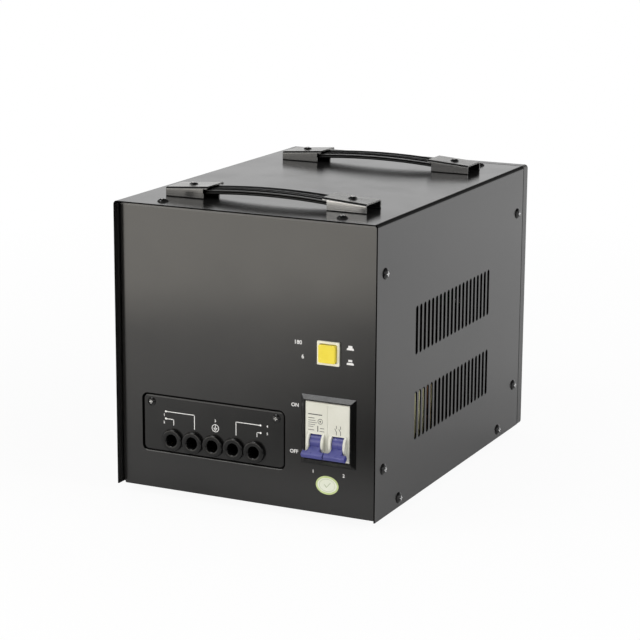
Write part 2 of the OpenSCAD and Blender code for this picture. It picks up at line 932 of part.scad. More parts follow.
// Moulded tub behind the panel, with a ledge and two bosses for the lid.
module terminal_box() {
    rim_t = lid_t + box_ledge_t;
    color("#262626")
        translate([-lid_x, 0, lid_mid_z])
            difference() {
                union() {
                    along_y(panel_in_y, rim_t)
                        round_rect(box_w, box_h, lid_r + box_rim);
                    along_y(panel_in_y, box_back_y + box_wall - panel_in_y)
                        round_rect(cavity_w + 2 * box_wall, cavity_h + 2 * box_wall,
                            lid_r + box_wall);
                }
                along_y(panel_in_y - overrun, lid_t + overrun)
                    round_rect(lid_w + 2 * lid_gap, lid_h + 2 * lid_gap, lid_r + lid_gap);
                difference() {
                    along_y(panel_in_y, box_back_y - panel_in_y)
                        round_rect(cavity_w, cavity_h, lid_r);
                    for (spot = lid_screw_spots)
                        translate([spot[0], lid_seat_y, spot[1]])
                            rotate([-90, 0, 0])
                                cylinder(r = lid_boss_r, h = box_back_y - lid_seat_y);
                }
                for (spot = lid_screw_spots)
                    translate([spot[0], lid_seat_y - overrun, spot[1]])
                        rotate([-90, 0, 0])
                            cylinder(r = small_r + thread_gap, h = lid_screw_len + overrun);
                along_y(panel_in_y - overrun, rim_t + 2 * overrun)
                    for (spot = box_stud_spots)
                        translate(spot)
                            circle(small_r + pass_gap);
                translate([0, 0, cavity_h / 2 - wire_slot_h])
                    along_y(box_back_y - overrun, box_wall + 2 * overrun)
                        rotate(90)
                            slot(wire_slot_h, wire_slot_w);
            }
}

module terminal_box_nuts() {
    color("silver")
        for (spot = box_stud_spots)
            translate([spot[0] - lid_x, lid_seat_y + box_ledge_t, lid_mid_z + spot[1]])
                rotate([-90, 0, 0])
                    difference() {
                        cylinder(r = small_nut_r, h = small_nut_h, $fn = 6);
                        translate([0, 0, -overrun])
                            cylinder(r = small_r + thread_gap, h = small_nut_h + 2 * overrun);
                    }
}

// Removable lid with a hole for each grommet.
module terminal_lid() {
    color("#2a2a2b")
        translate([-lid_x, 0, lid_mid_z])
            along_y(panel_in_y, lid_t)
                difference() {
                    round_rect(lid_w, lid_h, lid_r);
                    for (x = entry_spots)
                        translate([x, -entry_drop])
                            circle(grommet_neck_r + seat_gap);
                    for (spot = lid_screw_spots)
                        translate(spot)
                            circle(small_r + pass_gap);
                }
}

module lid_screws() {
    color("#1a1a1a")
        for (spot = lid_screw_spots)
            translate([spot[0] - lid_x, panel_in_y, lid_mid_z + spot[1]])
                rotate([90, 0, 0])
                    domed_screw(lid_screw_head_r, small_head_h, small_r, lid_screw_len);
}

// One rubber grommet along Z, with the lid's outer face at the origin.
module grommet() {
    neck = lid_t + seat_gap;
    rotate_extrude()
        translate([entry_r, 0]) {
            translate([0, -neck - grommet_back_t])
                square([grommet_back_r - entry_r, grommet_back_t]);
            translate([0, -neck - grommet_back_t])
                square([grommet_neck_r - entry_r,
                    neck + grommet_back_t + grommet_lip_t - grommet_edge]);
            square([grommet_r - entry_r, grommet_lip_t - grommet_edge]);
            translate([grommet_edge, 0])
                square([grommet_r - entry_r - 2 * grommet_edge, grommet_lip_t]);
            for (x = [grommet_edge, grommet_r - entry_r - grommet_edge])
                translate([x, grommet_lip_t - grommet_edge])
                    circle(grommet_edge);
        }
}

module cable_grommets() {
    color("#0e0e0e")
        for (x = entry_spots)
            translate([x - lid_x, panel_in_y - seat_gap / 2, entry_z])
                rotate([90, 0, 0])
                    grommet();
}

// Barrier block for the cables' wires, on the back of the terminal box.
module terminal_block() {
    width = entry_count * block_pitch + 2 * block_end_w;
    color("#303030")
        translate([-lid_x, 0, block_mid_z]) {
            along_y(box_back_y - block_base_t, block_base_t)
                square([width, block_h], center = true);
            for (i = [0 : entry_count])
                along_y(box_back_y - block_base_t - block_barrier_reach, block_barrier_reach
                    + block_base_t / 2)
                    translate([(i - entry_count / 2) * block_pitch, 0])
                        square([block_barrier_t, block_h], center = true);
        }
}

module terminal_clamps() {
    color("goldenrod")
        for (x = clamp_spots)
            along_y(box_back_y - block_base_t - clamp_t, clamp_t)
                translate([x - lid_x, block_mid_z])
                    square([clamp_w, clamp_h], center = true);
}

module terminal_clamp_screws() {
    color("silver")
        for (x = clamp_spots, z = [-1, 1])
            translate([x - lid_x, box_back_y - block_base_t - clamp_t,
                block_mid_z + z * clamp_screw_z])
                rotate([90, 0, 0])
                    difference() {
                        cylinder(r = clamp_screw_r, h = clamp_screw_h);
                        translate([0, 0, clamp_screw_h])
                            cube([2 * clamp_screw_r + overrun, cross_w_share * clamp_screw_r,
                                clamp_screw_h], center = true);
                    }
}

// Breaker's frame: four sloping borders, a collar through the panel and snap lugs.
module breaker_bezel() {
    outer_w = window_w + 2 * bezel_border;
    outer_h = window_h + 2 * bezel_border;
    slope = bezel_border - collar_wall;
    color("#121212")
        translate([breaker_x, panel_y, breaker_mid_z])
            difference() {
                union() {
                    intersection() {
                        translate([0, 0, -outer_h / 2])
                            linear_extrude(outer_h)
                                polygon([
                                    [-outer_w / 2, 0],
                                    [outer_w / 2, 0],
                                    [outer_w / 2 - slope, -bezel_proud],
                                    [-outer_w / 2 + slope, -bezel_proud]
                                ]);
                        along_x(-outer_w / 2, outer_w)
                            polygon([
                                [0, -outer_h / 2],
                                [0, outer_h / 2],
                                [-bezel_proud, outer_h / 2 - slope],
                                [-bezel_proud, -outer_h / 2 + slope]
                            ]);
                    }
                    along_y(-bezel_proud / 2, bezel_proud / 2 + sheet_t + collar_depth)
                        square([window_w + 2 * collar_wall, window_h + 2 * collar_wall],
                            center = true);
                    for (z = [-1, 1])
                        along_y(sheet_t + seat_gap, snap_t)
                            translate([0, z * (window_h / 2 + collar_wall)])
                                square([snap_len, 2 * snap_reach], center = true);
                }
                along_y(-bezel_proud - overrun, bezel_proud + sheet_t + collar_depth + 2 * overrun)
                    square([window_w, window_h], center = true);
            }
}

// Side outline of a breaker pole, from its face and the window's middle.
module pole_outline() {
    nose = window_h - 2 * nose_gap;
    difference() {
        union() {
            translate([breaker_edge, -nose / 2])
                square([nose_depth, nose]);
            translate([0, -nose / 2 + breaker_edge])
                square([nose_depth, nose - 2 * breaker_edge]);
            for (z = [-1, 1])
                translate([breaker_edge, z * (nose / 2 - breaker_edge)])
                    circle(breaker_edge);
            translate([nose_depth, -breaker_body_h / 2])
                square([breaker_depth - nose_depth, breaker_body_h]);
        }
        translate([breaker_depth - rail_notch_depth, -rail_w / 2 - rail_gap])
            square([rail_t + 2 * rail_gap, rail_w + 2 * rail_gap]);
        translate([breaker_depth - rail_notch_depth, -rail_mouth / 2 - rail_hook_gap])
            square([rail_notch_depth + overrun, rail_mouth + 2 * rail_hook_gap]);
    }
}

// Two moulded pole housings, each with a slot and a round seat for its lever.
module breaker_poles() {
    slot_turn = lever_angle + asin((lever_t / 2 + neck_side_gap) / barrel_r);
    slot_half = barrel_r * sin(slot_turn);
    drum_r = barrel_r - drum_gap;
    seat_w = lever_neck_w + 2 * neck_side_gap;
    barrel_w = seat_w + 2 * cheek_t;
    color("ivory")
        for (x = pole_spots)
            translate([x, face_y, breaker_mid_z])
                difference() {
                    union() {
                        along_x(-pole_w / 2, pole_w)
                            pole_outline();
                        along_x(-barrel_w / 2, barrel_w)
                            translate([pivot_depth, -pivot_drop])
                                circle(barrel_r);
                    }
                    translate([-seat_w / 2, pivot_depth, -pivot_drop])
                        rotate([0, 90, 0])
                            cylinder(r = drum_r + move_gap, h = seat_w);
                    translate([-seat_w / 2, pivot_depth - barrel_r - overrun,
                        -pivot_drop - slot_half])
                        cube([seat_w, barrel_r + overrun, 2 * slot_half]);
                    translate([-pole_w / 2 - overrun, pivot_depth, -pivot_drop])
                        rotate([0, 90, 0])
                            cylinder(r = pivot_pin_r + seat_gap / 2, h = pole_w + 2 * overrun);
                    for (side = [-1, 1])
                        translate([side * pole_w / 2, 0, 0])
                            rotate([0, 0, 45])
                                cube([pole_side_groove, pole_side_groove, breaker_body_h],
                                    center = true);
                    for (z = [-1, 1]) {
                        translate([0, nose_depth - overrun, z * terminal_z])
                            rotate([-90, 0, 0])
                                cylinder(r = terminal_well_r, h = terminal_well_depth + overrun);
                        translate([0, nose_depth + wire_hole_y,
                            z * (breaker_body_h / 2 - wire_hole_depth / 2 + overrun / 2)])
                            cylinder(r = wire_hole_r, h = wire_hole_depth + overrun,
                                center = true);
                    }
                }
}

// Pivot pins: one through each pole's lever.
module breaker_pins() {
    color("silver")
        for (x = pole_spots)
            translate([x - pole_w / 2 + pin_end_gap, pivot_y, pivot_z])
                rotate([0, 90, 0])
                    cylinder(r = pivot_pin_r, h = pole_w - 2 * pin_end_gap);
}

// One lever, turned down to its off stop: a round hub, a neck and a wide crossbar.
module lever(x) {
    drum_r = barrel_r - drum_gap;
    flare_root = lever_reach_r - bar_len / 2 - barrel_r - move_gap;
    color("#4a46a0")
        translate([x, pivot_y, pivot_z])
            rotate([lever_angle, 0, 0])
                difference() {
                    union() {
                        translate([-lever_neck_w / 2, 0, 0])
                            rotate([0, 90, 0])
                                cylinder(r = drum_r, h = lever_neck_w);
                        along_x(-lever_neck_w / 2, lever_neck_w)
                            translate([-lever_reach_r + bar_round, -lever_t / 2])
                                square([lever_reach_r - bar_round, lever_t]);
                        along_x(-lever_bar_w / 2, lever_bar_w)
                            translate([-lever_reach_r + bar_len / 2, 0])
                                round_rect(bar_len, lever_t, bar_round);
                        translate([0, -lever_reach_r + bar_len / 2, -lever_t / 2 + flare_inset])
                            linear_extrude(lever_t - 2 * flare_inset)
                                polygon([
                                    [-flare_w / 2, 0],
                                    [flare_w / 2, 0],
                                    [lever_neck_w / 2, flare_root],
                                    [-lever_neck_w / 2, flare_root]
                                ]);
                    }
                    translate([-lever_bar_w / 2 - overrun, 0, 0])
                        rotate([0, 90, 0])
                            cylinder(r = pivot_pin_r + pin_gap, h = lever_bar_w + 2 * overrun);
                }
}

module breaker_lever_left() {
    lever(pole_spots[0]);
}

module breaker_lever_right() {
    lever(pole_spots[1]);
}

module breaker_terminal_screws() {
    color("silver")
        for (x = pole_spots, z = [-1, 1])
            translate([x, face_y + nose_depth + terminal_well_depth,
                breaker_mid_z + z * terminal_z])
                rotate([90, 0, 0])
                    difference() {
                        cylinder(r = terminal_screw_r, h = terminal_screw_h);
                        for (turn = [0, 90])
                            rotate([0, 0, turn])
                                translate([0, 0, terminal_screw_h])
                                    cube([cross_len_share * terminal_screw_r,
                                        cross_w_share * terminal_screw_r,
                                        terminal_screw_h], center = true);
                    }
}

// Top-hat rail that the breaker hooks onto.
module mounting_rail() {
    color("silver")
        translate([0, rail_y, breaker_mid_z])
            along_x(breaker_x - rail_len / 2, rail_len) {
                for (z = [-1, 1]) {
                    translate([0, z > 0 ? rail_mouth / 2 - rail_t : -rail_w / 2])
                        square([rail_t, (rail_w - rail_mouth) / 2 + rail_t]);
                    translate([0, z * (rail_mouth - rail_t) / 2 - rail_t / 2])
                        square([rail_depth, rail_t]);
                }
                translate([rail_depth - rail_t, -rail_mouth / 2])
                    square([rail_t, rail_mouth]);
            }
}

// Bent upright that carries the rail from the floor.
module rail_bracket() {
    color("#8a8d90")
        difference() {
            translate([0, rail_back_y + rail_bracket_t, floor_z])
                mirror([0, 1, 0])
                    along_x(breaker_x - rail_len / 2, rail_len)
                        angle_section(rail_bracket_foot,
                            breaker_mid_z + rail_bracket_rise - floor_z,
                            rail_bracket_t, rail_bracket_r);
            for (spot = rail_foot_spots)
                translate([spot[0], spot[1], floor_z - overrun])
                    cylinder(r = small_r + pass_gap, h = rail_bracket_t + 2 * overrun);
        }
}

module rail_bracket_screws() {
    color("silver")
        for (spot = rail_foot_spots)
            translate([spot[0], spot[1], floor_z + rail_bracket_t])
                domed_screw(small_head_r, small_head_h, small_r, rail_bracket_t + sheet_t);
}

// White square frame of the delay button, flat on the panel.
module delay_button_bezel() {
    color("whitesmoke")
        translate([button_x, 0, button_mid_z])
            along_y(panel_y - button_frame_proud, button_frame_proud)
                difference() {
                    round_rect(button_frame_w, button_frame_w, button_frame_r);
                    round_rect(button_cap_w + 2 * cap_side_gap, button_cap_w + 2 * cap_side_gap,
                        cap_round);
                }
}

// Latching switch behind the panel, with a guide for the plunger.
module delay_switch_body() {
    guide_y = panel_y - button_frame_proud - button_cap_proud + cap_skirt;
    color("#e8e8e4")
        translate([button_x, 0, button_mid_z])
            difference() {
                along_y(panel_y, switch_body_depth)
                    round_rect(switch_body_w, switch_body_w, cap_round / 2);
                along_y(panel_y - overrun, guide_y + button_travel + move_gap - panel_y + overrun)
                    round_rect(button_cap_w + 2 * cap_side_gap, button_cap_w + 2 * cap_side_gap,
                        cap_round / 2);
                along_y(panel_y, guide_y + plunger_len + button_travel + move_gap - panel_y)
                    circle(plunger_r + pin_gap);
            }
}

// Yellow push cap with the plunger that runs in the switch body.
module delay_button_cap() {
    cap_y = panel_y - button_frame_proud - button_cap_proud;
    color("gold")
        translate([button_x, 0, button_mid_z]) {
            along_y(cap_y, cap_skirt)
                round_rect(button_cap_w, button_cap_w, cap_round);
            along_y(cap_y + cap_skirt / 2, plunger_len + cap_skirt / 2)
                circle(plunger_r);
        }
}

module delay_switch_pins() {
    color("goldenrod")
        for (x = [-1, 1], z = [-1, 0, 1])
            translate([button_x + x * switch_pin_x, 0, button_mid_z + z * switch_pin_x])
                along_y(panel_y + switch_body_depth, switch_pin_len)
                    square([switch_pin_t, switch_pin_w], center = true);
}

// Ring-shaped core of wound steel strip.
module toroid_core() {
    color("#6f7377")
        translate([0, toroid_mid_y, toroid_z + winding_t])
            rotate_extrude($fn = 128)
                translate([core_hole_r, 0])
                    square([core_r - core_hole_r, core_h]);
}

// Taped copper winding around the core.
module toroid_winding() {
    ring_w = toroid_r - toroid_hole_r;
    mid_r = (toroid_r + toroid_hole_r) / 2;
    color("#c9a227")
        translate([0, toroid_mid_y, toroid_z + toroid_h / 2])
            rotate_extrude($fn = 128)
                translate([mid_r, 0])
                    difference() {
                        round_rect(ring_w, toroid_h, winding_round);
                        square([core_r - core_hole_r + 2 * core_gap, core_h + 2 * core_gap],
                            center = true);
                    }
}

// Rubber pads under and over the transformer.
module toroid_pads() {
    color("#181818")
        for (z = [floor_z, toroid_top])
            translate([0, toroid_mid_y, z])
                difference() {
                    cylinder(r = toroid_r - pad_margin, h = pad_t);
                    translate([0, 0, -overrun])
                        cylinder(r = toroid_hole_r, h = pad_t + 2 * overrun);
                }
}

// Dished washer: its rim clamps the upper pad, its middle dips into the hole.
module toroid_dish() {
    rim_z = dish_dip;
    inner_r = dish_r - dish_rim_w - dish_slope_w;
    color("#b5a642")
        translate([0, toroid_mid_y, dish_bottom])
            rotate_extrude()
                polygon([
                    [bolt_r + pass_gap, 0],
                    [inner_r, 0],
                    [toroid_hole_r - dish_t, rim_z],
                    [dish_r, rim_z],
                    [dish_r, rim_z + dish_t],
                    [toroid_hole_r - 2 * dish_t, rim_z + dish_t],
                    [inner_r - dish_t, dish_t],
                    [bolt_r + pass_gap, dish_t]
                ]);
}

module toroid_bolt() {
    top = dish_bottom + dish_t + nut_h + bolt_end;
    color("silver")
        translate([0, toroid_mid_y, foot_h - bolt_head_h]) {
            cylinder(r = bolt_head_r, h = bolt_head_h, $fn = 6);
            cylinder(r = bolt_r, h = top - foot_h + bolt_head_h);
        }
}

module toroid_nut() {
    color("silver")
        translate([0, toroid_mid_y, dish_bottom + dish_t])
            difference() {
                cylinder(r = nut_r, h = nut_h, $fn = 6);
                translate([0, 0, -overrun])
                    cylinder(r = bolt_r + thread_gap, h = nut_h + 2 * overrun);
            }
}

// Bent upright that carries the relay board over the transformer.
module board_bracket() {
    height = board_mid_z + board_h / 2 + bracket_margin - floor_z;
    color("#8a8d90")
        difference() {
            translate([0, web_y, floor_z])
                along_x(-board_w / 2 - bracket_margin, board_w + 2 * bracket_margin)
                    angle_section(bracket_foot, height, bracket_t, bracket_bend);
            along_y(web_y - overrun, bracket_t + 2 * overrun) {
                translate([0, floor_z + bracket_window_z + bracket_window_h / 2])
                    round_rect(bracket_window_w, bracket_window_h, bracket_window_r);
                for (spot = board_hole_spots(board_w, board_h))
                    translate([spot[0], board_mid_z + spot[1]])
                        circle(small_r + pass_gap);
            }
            for (spot = board_foot_spots)
                translate([spot[0], spot[1], floor_z - overrun])
                    cylinder(r = small_r + pass_gap, h = bracket_t + 2 * overrun);
        }
}

module board_bracket_screws() {
    color("silver")
        for (spot = board_foot_spots)
            translate([spot[0], spot[1], floor_z + bracket_t])
                domed_screw(small_head_r, small_head_h, small_r, bracket_t + sheet_t);
}

module relay_board() {
    color("#2f6b3a")
        along_y(board_y, board_t)
            translate([0, board_mid_z])
                difference() {
                    square([board_w, board_h], center = true);
                    for (spot = board_hole_spots(board_w, board_h))
                        translate(spot)
                            circle(small_r + pass_gap);
                }
}

// A row of relays along the board's lower half.
module relays() {
    color("#1c3f8a")
        for (i = [0 : relay_count - 1])
            along_y(board_y - relay_d, relay_d)
                translate([(i - (relay_count - 1) / 2) * (relay_w + relay_gap),
                    board_mid_z - relay_drop])
                    round_rect(relay_w, relay_h, relay_r);
}

// Two capacitor cans on the board's upper half.
module board_capacitors() {
    color("#20242c")
        for (i = [-1, 1])
            translate([i * (can_r + can_gap), board_y, board_mid_z + can_drop])
                rotate([90, 0, 0]) {
                    cylinder(r = can_r, h = can_h - can_round);
                    cylinder(r = can_r - can_round, h = can_h);
                    translate([0, 0, can_h - can_round])
                        rotate_extrude()
                            translate([can_r - can_round, 0])
                                circle(can_round);
                }
}

// Plug headers beside the capacitors.
module board_plugs() {
    color("white")
        for (x = [-1, 1])
            along_y(board_y - plug_d, plug_d)
                translate([x * (board_w / 2 - plug_edge_gap - plug_w / 2),
                    board_mid_z + can_drop + plug_drop])
                    round_rect(plug_w, plug_h, plug_r);
}

module board_standoffs() {
    color("ivory")
        for (spot = board_hole_spots(board_w, board_h))
            translate([spot[0], board_y + board_t, board_mid_z + spot[1]])
                rotate([-90, 0, 0])
                    difference() {
                        cylinder(r = standoff_r, h = standoff_len);
                        translate([0, 0, -overrun])
                            cylinder(r = small_r + thread_gap, h = standoff_len + 2 * overrun);
                    }
}

module board_screws() {
    color("silver")
        for (spot = board_hole_spots(board_w, board_h))
            translate([spot[0], board_y, board_mid_z + spot[1]])
                rotate([90, 0, 0])
                    domed_screw(small_head_r, small_head_h, small_r,
                        board_t + standoff_len / 2);
}

// Section of the strap: two beads, two ribs and a web.
module strap_section() {
    bead_x = strap_w / 2 - strap_bead_r;
    translate([strap_web_lift, -bead_x])
        square([strap_web_t, 2 * bead_x]);
    for (side = [-1, 1]) {
        translate([strap_t / 2, side * bead_x])
            circle(strap_bead_r);
        translate([strap_t - strap_rib_r, side * strap_rib_x])
            circle(strap_rib_r);
    }
}

// Flexible strap: a shallow arch with a flat slotted tongue at each end.
module handle_strap(y) {
    tongue_x = arch_half;
    tongue_z = sqrt(strap_arch_r * strap_arch_r - arch_half * arch_half) - strap_arch_r;
    color("#141414")
        translate([0, y, arch_mid_z]) {
            translate([0, 0, -strap_arch_r])
                rotate([90, 0, 0])
                    rotate([0, 0, 90 - arch_angle])
                        rotate_extrude(angle = 2 * arch_angle, $fn = arch_fn)
                            translate([strap_arch_r, 0])
                                strap_section();
            for (side = [0, 1])
                mirror([side, 0, 0])
                    translate([tongue_x, 0, tongue_z])
                        rotate([0, arch_angle, 0])
                            translate([-tongue_t / 2, 0, tongue_lift])
                                linear_extrude(tongue_t)
                                    difference() {
                                        translate([0, -tongue_w / 2])
                                            square([tongue_len + tongue_t / 2, tongue_w]);
                                        translate([cap_len - cap_screw_in + tongue_t / 2, 0])
                                            rotate(90)
                                                slot(2 * handle_screw_r + 2 * pass_gap,
                                                    tongue_slot);
                                    }
        }
}

module front_handle_strap() {
    handle_strap(front_handle_y);
}

module rear_handle_strap() {
    handle_strap(rear_handle_y);
}

// One bent end cap along X from its outer end, tilted up towards the strap.
module handle_cap() {
    length = cap_len + cap_lip;
    depth = 2 * cap_high_h;
    difference() {
        intersection() {
            translate([0, 0, cap_low_h])
                rotate([0, -cap_tilt, 0])
                    mirror([0, 0, 1])
                        rotate([90, 0, 90])
                            translate([0, 0, -overrun])
                                linear_extrude(length + 2 * overrun)
                                    channel(cap_w, depth, cap_t, cap_bend);
            translate([0, -cap_w, 0])
                cube([length, 2 * cap_w, depth]);
        }
        translate([cap_len, -cap_w, -overrun])
            cube([length, 2 * cap_w, cap_high_h - cap_bend + overrun]);
        translate([cap_screw_in, 0, -overrun])
            cylinder(r = handle_screw_r + pass_gap, h = depth);
    }
}

module handle_caps(y) {
    color("#9a9a96")
        for (side = [0, 1])
            mirror([side, 0, 0])
                translate([-handle_len / 2, y, top_z])
                    handle_cap();
}

module front_handle_caps() {
    handle_caps(front_handle_y);
}

module rear_handle_caps() {
    handle_caps(rear_handle_y);
}

module handle_screws() {
    color("#3a3a3a")
        for (spot = handle_screw_spots)
            translate([spot[0], spot[1], top_z + cap_screw_z + handle_screw_head_r * tan(cap_tilt)])
                domed_screw(handle_screw_head_r, handle_screw_head_h, handle_screw_r,
                    cap_screw_z + sheet_t + handle_nut_h + cap_t);
}

module handle_nuts() {
    color("silver")
        for (spot = handle_screw_spots)
            translate([spot[0], spot[1], top_z - sheet_t - handle_nut_h])
                difference() {
                    cylinder(r = handle_nut_r, h = handle_nut_h, $fn = 6);
                    translate([0, 0, -overrun])
                        cylinder(r = handle_screw_r + thread_gap, h = handle_nut_h + 2 * overrun);
                }
}

chassis();
cover();
cover_screws();
feet();
foot_screws();
fascia();
fascia_screws();
display_window();
display_board();
display_digits();
indicator_lamps();
display_spacers();
display_screws();
terminal_box();
terminal_box_nuts();
terminal_lid();
lid_screws();
cable_grommets();
terminal_block();
terminal_clamps();
terminal_clamp_screws();
breaker_bezel();
breaker_poles();
breaker_pins();
breaker_lever_left();
breaker_lever_right();
breaker_terminal_screws();
mounting_rail();
rail_bracket();
rail_bracket_screws();
delay_button_bezel();
delay_switch_body();
delay_button_cap();
delay_switch_pins();
toroid_core();
toroid_winding();
toroid_pads();
toroid_dish();
toroid_bolt();
toroid_nut();
board_bracket();
board_bracket_screws();
relay_board();
relays();
board_capacitors();
board_plugs();
board_standoffs();
board_screws();
front_handle_strap();
rear_handle_strap();
front_handle_caps();
rear_handle_caps();
handle_screws();
handle_nuts();
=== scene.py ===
import json
import math

import bmesh
import bpy
from mathutils import Matrix, Vector


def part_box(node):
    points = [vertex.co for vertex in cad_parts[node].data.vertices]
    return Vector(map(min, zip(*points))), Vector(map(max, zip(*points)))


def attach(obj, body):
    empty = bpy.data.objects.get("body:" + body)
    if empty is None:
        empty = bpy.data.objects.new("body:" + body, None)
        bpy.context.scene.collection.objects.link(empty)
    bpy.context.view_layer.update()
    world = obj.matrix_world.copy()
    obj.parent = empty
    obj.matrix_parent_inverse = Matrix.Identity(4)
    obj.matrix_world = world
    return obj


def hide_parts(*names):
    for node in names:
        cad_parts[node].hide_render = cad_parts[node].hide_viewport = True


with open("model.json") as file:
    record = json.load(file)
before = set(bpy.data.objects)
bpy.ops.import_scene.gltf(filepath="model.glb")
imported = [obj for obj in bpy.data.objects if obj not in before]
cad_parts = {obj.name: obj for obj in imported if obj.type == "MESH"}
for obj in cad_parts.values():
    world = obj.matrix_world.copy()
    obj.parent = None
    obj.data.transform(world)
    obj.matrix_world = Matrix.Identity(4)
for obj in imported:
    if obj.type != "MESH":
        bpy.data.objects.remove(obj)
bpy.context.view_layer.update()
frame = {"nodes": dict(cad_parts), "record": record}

# A voltage stabilizer: the CAD nodes get their materials, and thin prints, the sticker, bright
# crosses in the screws' recesses as painted glints, the winding and the digits are added as
# pieces of their own.
# Names in capitals are sizes in millimetres, unless a comment says otherwise. Places on the front
# are measured from the cover's lower left corner.

MM = 0.001

# ---------------------------------------------------------------- named sizes

# The photograph's camera, measured from the cover's lower front left corner. Its yaw, pitch and
# roll are in degrees, and its clipping in metres.
IMAGE_PX = 640
FOCAL_PX = 2149.6
SENSOR_MM = 36.0
CAMERA_PLACE = (836.9, -1378.7, 512.0)
CAMERA_TURNS = (25.667, 13.327, 0.327)
CAMERA_CLIP = (0.05, 60.0)

# Forms of the CAD source that no node's box gives.
LID_GAP, LID_R = 1.1, 3.5
VENT_START, VENT_ZS = 74.0, (64.3, 131.2)
SLOT_COUNT, SLOT_PITCH, SLOT_W, SLOT_H = 20, 7.7, 3.8, 37.0
POLE_STEP_IN, POLE_PITCH, WINDOW_TOP_Z = 3.7, 18.2, 85.4
RING_OUTER_R, RING_INNER_R, RING_CORNER_R = 80.0, 24.0, 9.0
MODULE_PITCH, DIGIT_PITCH = 36.0, 9.6

# Screws: the head's radius and height, and the height of the bright cross, a painted glint, as a
# share of the head's.
COVER_SCREW = (4.3, 2.3, 0.46)
LID_SCREW = (3.4, 1.8, 0.3)
CAP_SCREW = (3.6, 1.5, 0.6)
TOP_SCREW_X, SIDE_SCREW_IN, LOW_SCREW_RISE = 75.0, 38.0, 7.4
FRONT_ROW_IN, REAR_ROW_IN = 7.9, 12.6
LOW_FRONT_IN, LOW_REAR_IN = 44.0, 47.0
LID_SCREW_IN, LID_SCREW_DROP = 6.4, 5.4
CAP_SCREW_IN, CAP_SCREW_SEAT = 17.0, 8.63

# Borders, and bands of painted shade and painted highlight, that the masks draw, and how softly
# they end.
SOFT = 0.2
SLOT_SHADE = 0.4
REAR_DARK_BORDER = 0.8
COVER_SIDE = 1.6
CAP_FOOT_SHADE, CAP_FOOT_SHADE_SOFT = 0.5, 0.3
PANEL_DEPTH = 2.8
PANEL_HIGHLIGHT, PANEL_HIGHLIGHT_SOFT = 4.1, 0.6
LID_HIGHLIGHT, LID_HIGHLIGHT_SOFT = 1.3, 0.3
CUTOUT_SHADE, SILL_DROP = 0.45, 0.6

# Prints: thickness, font size for letters of height 1, and how much bolder the letters are.
PRINT_T = 0.04
FONT_SCALE = 1.38
INK_SPREAD = 0.06
STICKER_T = 0.12

# The floor's half width, and how far it lies below the feet, in metres.
FLOOR_HALF, FLOOR_DROP = 12.0, 0.0001


def box_mm(node):
    """A node's lowest and highest corners, in millimetres."""
    low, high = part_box(node)
    return [c / MM for c in low], [c / MM for c in high]


cover_low, cover_high = box_mm("cover")
chassis_low, chassis_high = box_mm("chassis")
lid_low, lid_high = box_mm("terminal_lid")
poles_low, poles_high = box_mm("breaker_poles")
digits_low, digits_high = box_mm("display_digits")
winding_low, winding_high = box_mm("toroid_winding")

LEFT_X, BOTTOM_Z, TOP_Z = cover_low[0], cover_low[2], cover_high[2]
PANEL_Y = chassis_low[1]
LID_Y = lid_low[1]


# ---------------------------------------------------------------- camera

def add_camera():
    yaw, pitch, roll = (math.radians(turn) for turn in CAMERA_TURNS)
    place = Vector([away + corner for away, corner in zip(CAMERA_PLACE, cover_low)]) * MM
    forward = Vector((-math.sin(yaw) * math.cos(pitch), math.cos(yaw) * math.cos(pitch),
                      -math.sin(pitch)))
    level_right = Vector((math.cos(yaw), math.sin(yaw), 0.0))
    level_up = level_right.cross(forward)
    right = level_right * math.cos(roll) + level_up * math.sin(roll)
    up = level_up * math.cos(roll) - level_right * math.sin(roll)
    turn = Matrix((right, up, -forward)).transposed().to_4x4()
    data = bpy.data.cameras.new("camera")
    data.sensor_width = SENSOR_MM
    data.lens = FOCAL_PX / IMAGE_PX * SENSOR_MM
    data.clip_start, data.clip_end = CAMERA_CLIP
    camera = bpy.data.objects.new("camera", data)
    camera.matrix_world = Matrix.Translation(place) @ turn
    bpy.context.collection.objects.link(camera)
    bpy.context.scene.camera = camera


add_camera()


# ---------------------------------------------------------------- node helpers

mats = {}


def tree(name):
    """A new material, kept in mats, with a shader and its object coordinates."""
    mat = bpy.data.materials.new(name)
    mat.use_nodes = True
    nodes, links = mat.node_tree.nodes, mat.node_tree.links
    nodes.clear()
    out = nodes.new("ShaderNodeOutputMaterial")
    bsdf = nodes.new("ShaderNodeBsdfPrincipled")
    links.new(bsdf.outputs["BSDF"], out.inputs["Surface"])
    coords = nodes.new("ShaderNodeTexCoord")
    mats[name] = mat
    return nodes, links, bsdf, coords.outputs["Object"]


def put(links, value, socket):
    """A number set on a socket, or an output linked to it."""
    if isinstance(value, float):
        socket.default_value = value
    else:
        links.new(value, socket)


def noise(nodes, links, vector, scale, detail=3.0, rough=0.55, stretch=None):
    if stretch:
        mapping = nodes.new("ShaderNodeMapping")
        mapping.inputs["Scale"].default_value = stretch
        links.new(vector, mapping.inputs["Vector"])
        vector = mapping.outputs["Vector"]
    tex = nodes.new("ShaderNodeTexNoise")
    tex.inputs["Scale"].default_value = scale
    tex.inputs["Detail"].default_value = detail
    tex.inputs["Roughness"].default_value = rough
    links.new(vector, tex.inputs["Vector"])
    return tex.outputs["Fac"]


def ramp(nodes, links, fac, stops):
    node = nodes.new("ShaderNodeValToRGB")
    for element, (place, color) in zip(node.color_ramp.elements, stops):
        element.position = place
        element.color = (*color, 1.0)
    links.new(fac, node.inputs["Fac"])
    return node.outputs["Color"]


def calc(nodes, links, operation, *values):
    node = nodes.new("ShaderNodeMath")
    node.operation = operation
    for socket, value in zip(node.inputs, values):
        put(links, value, socket)
    return node.outputs[0]


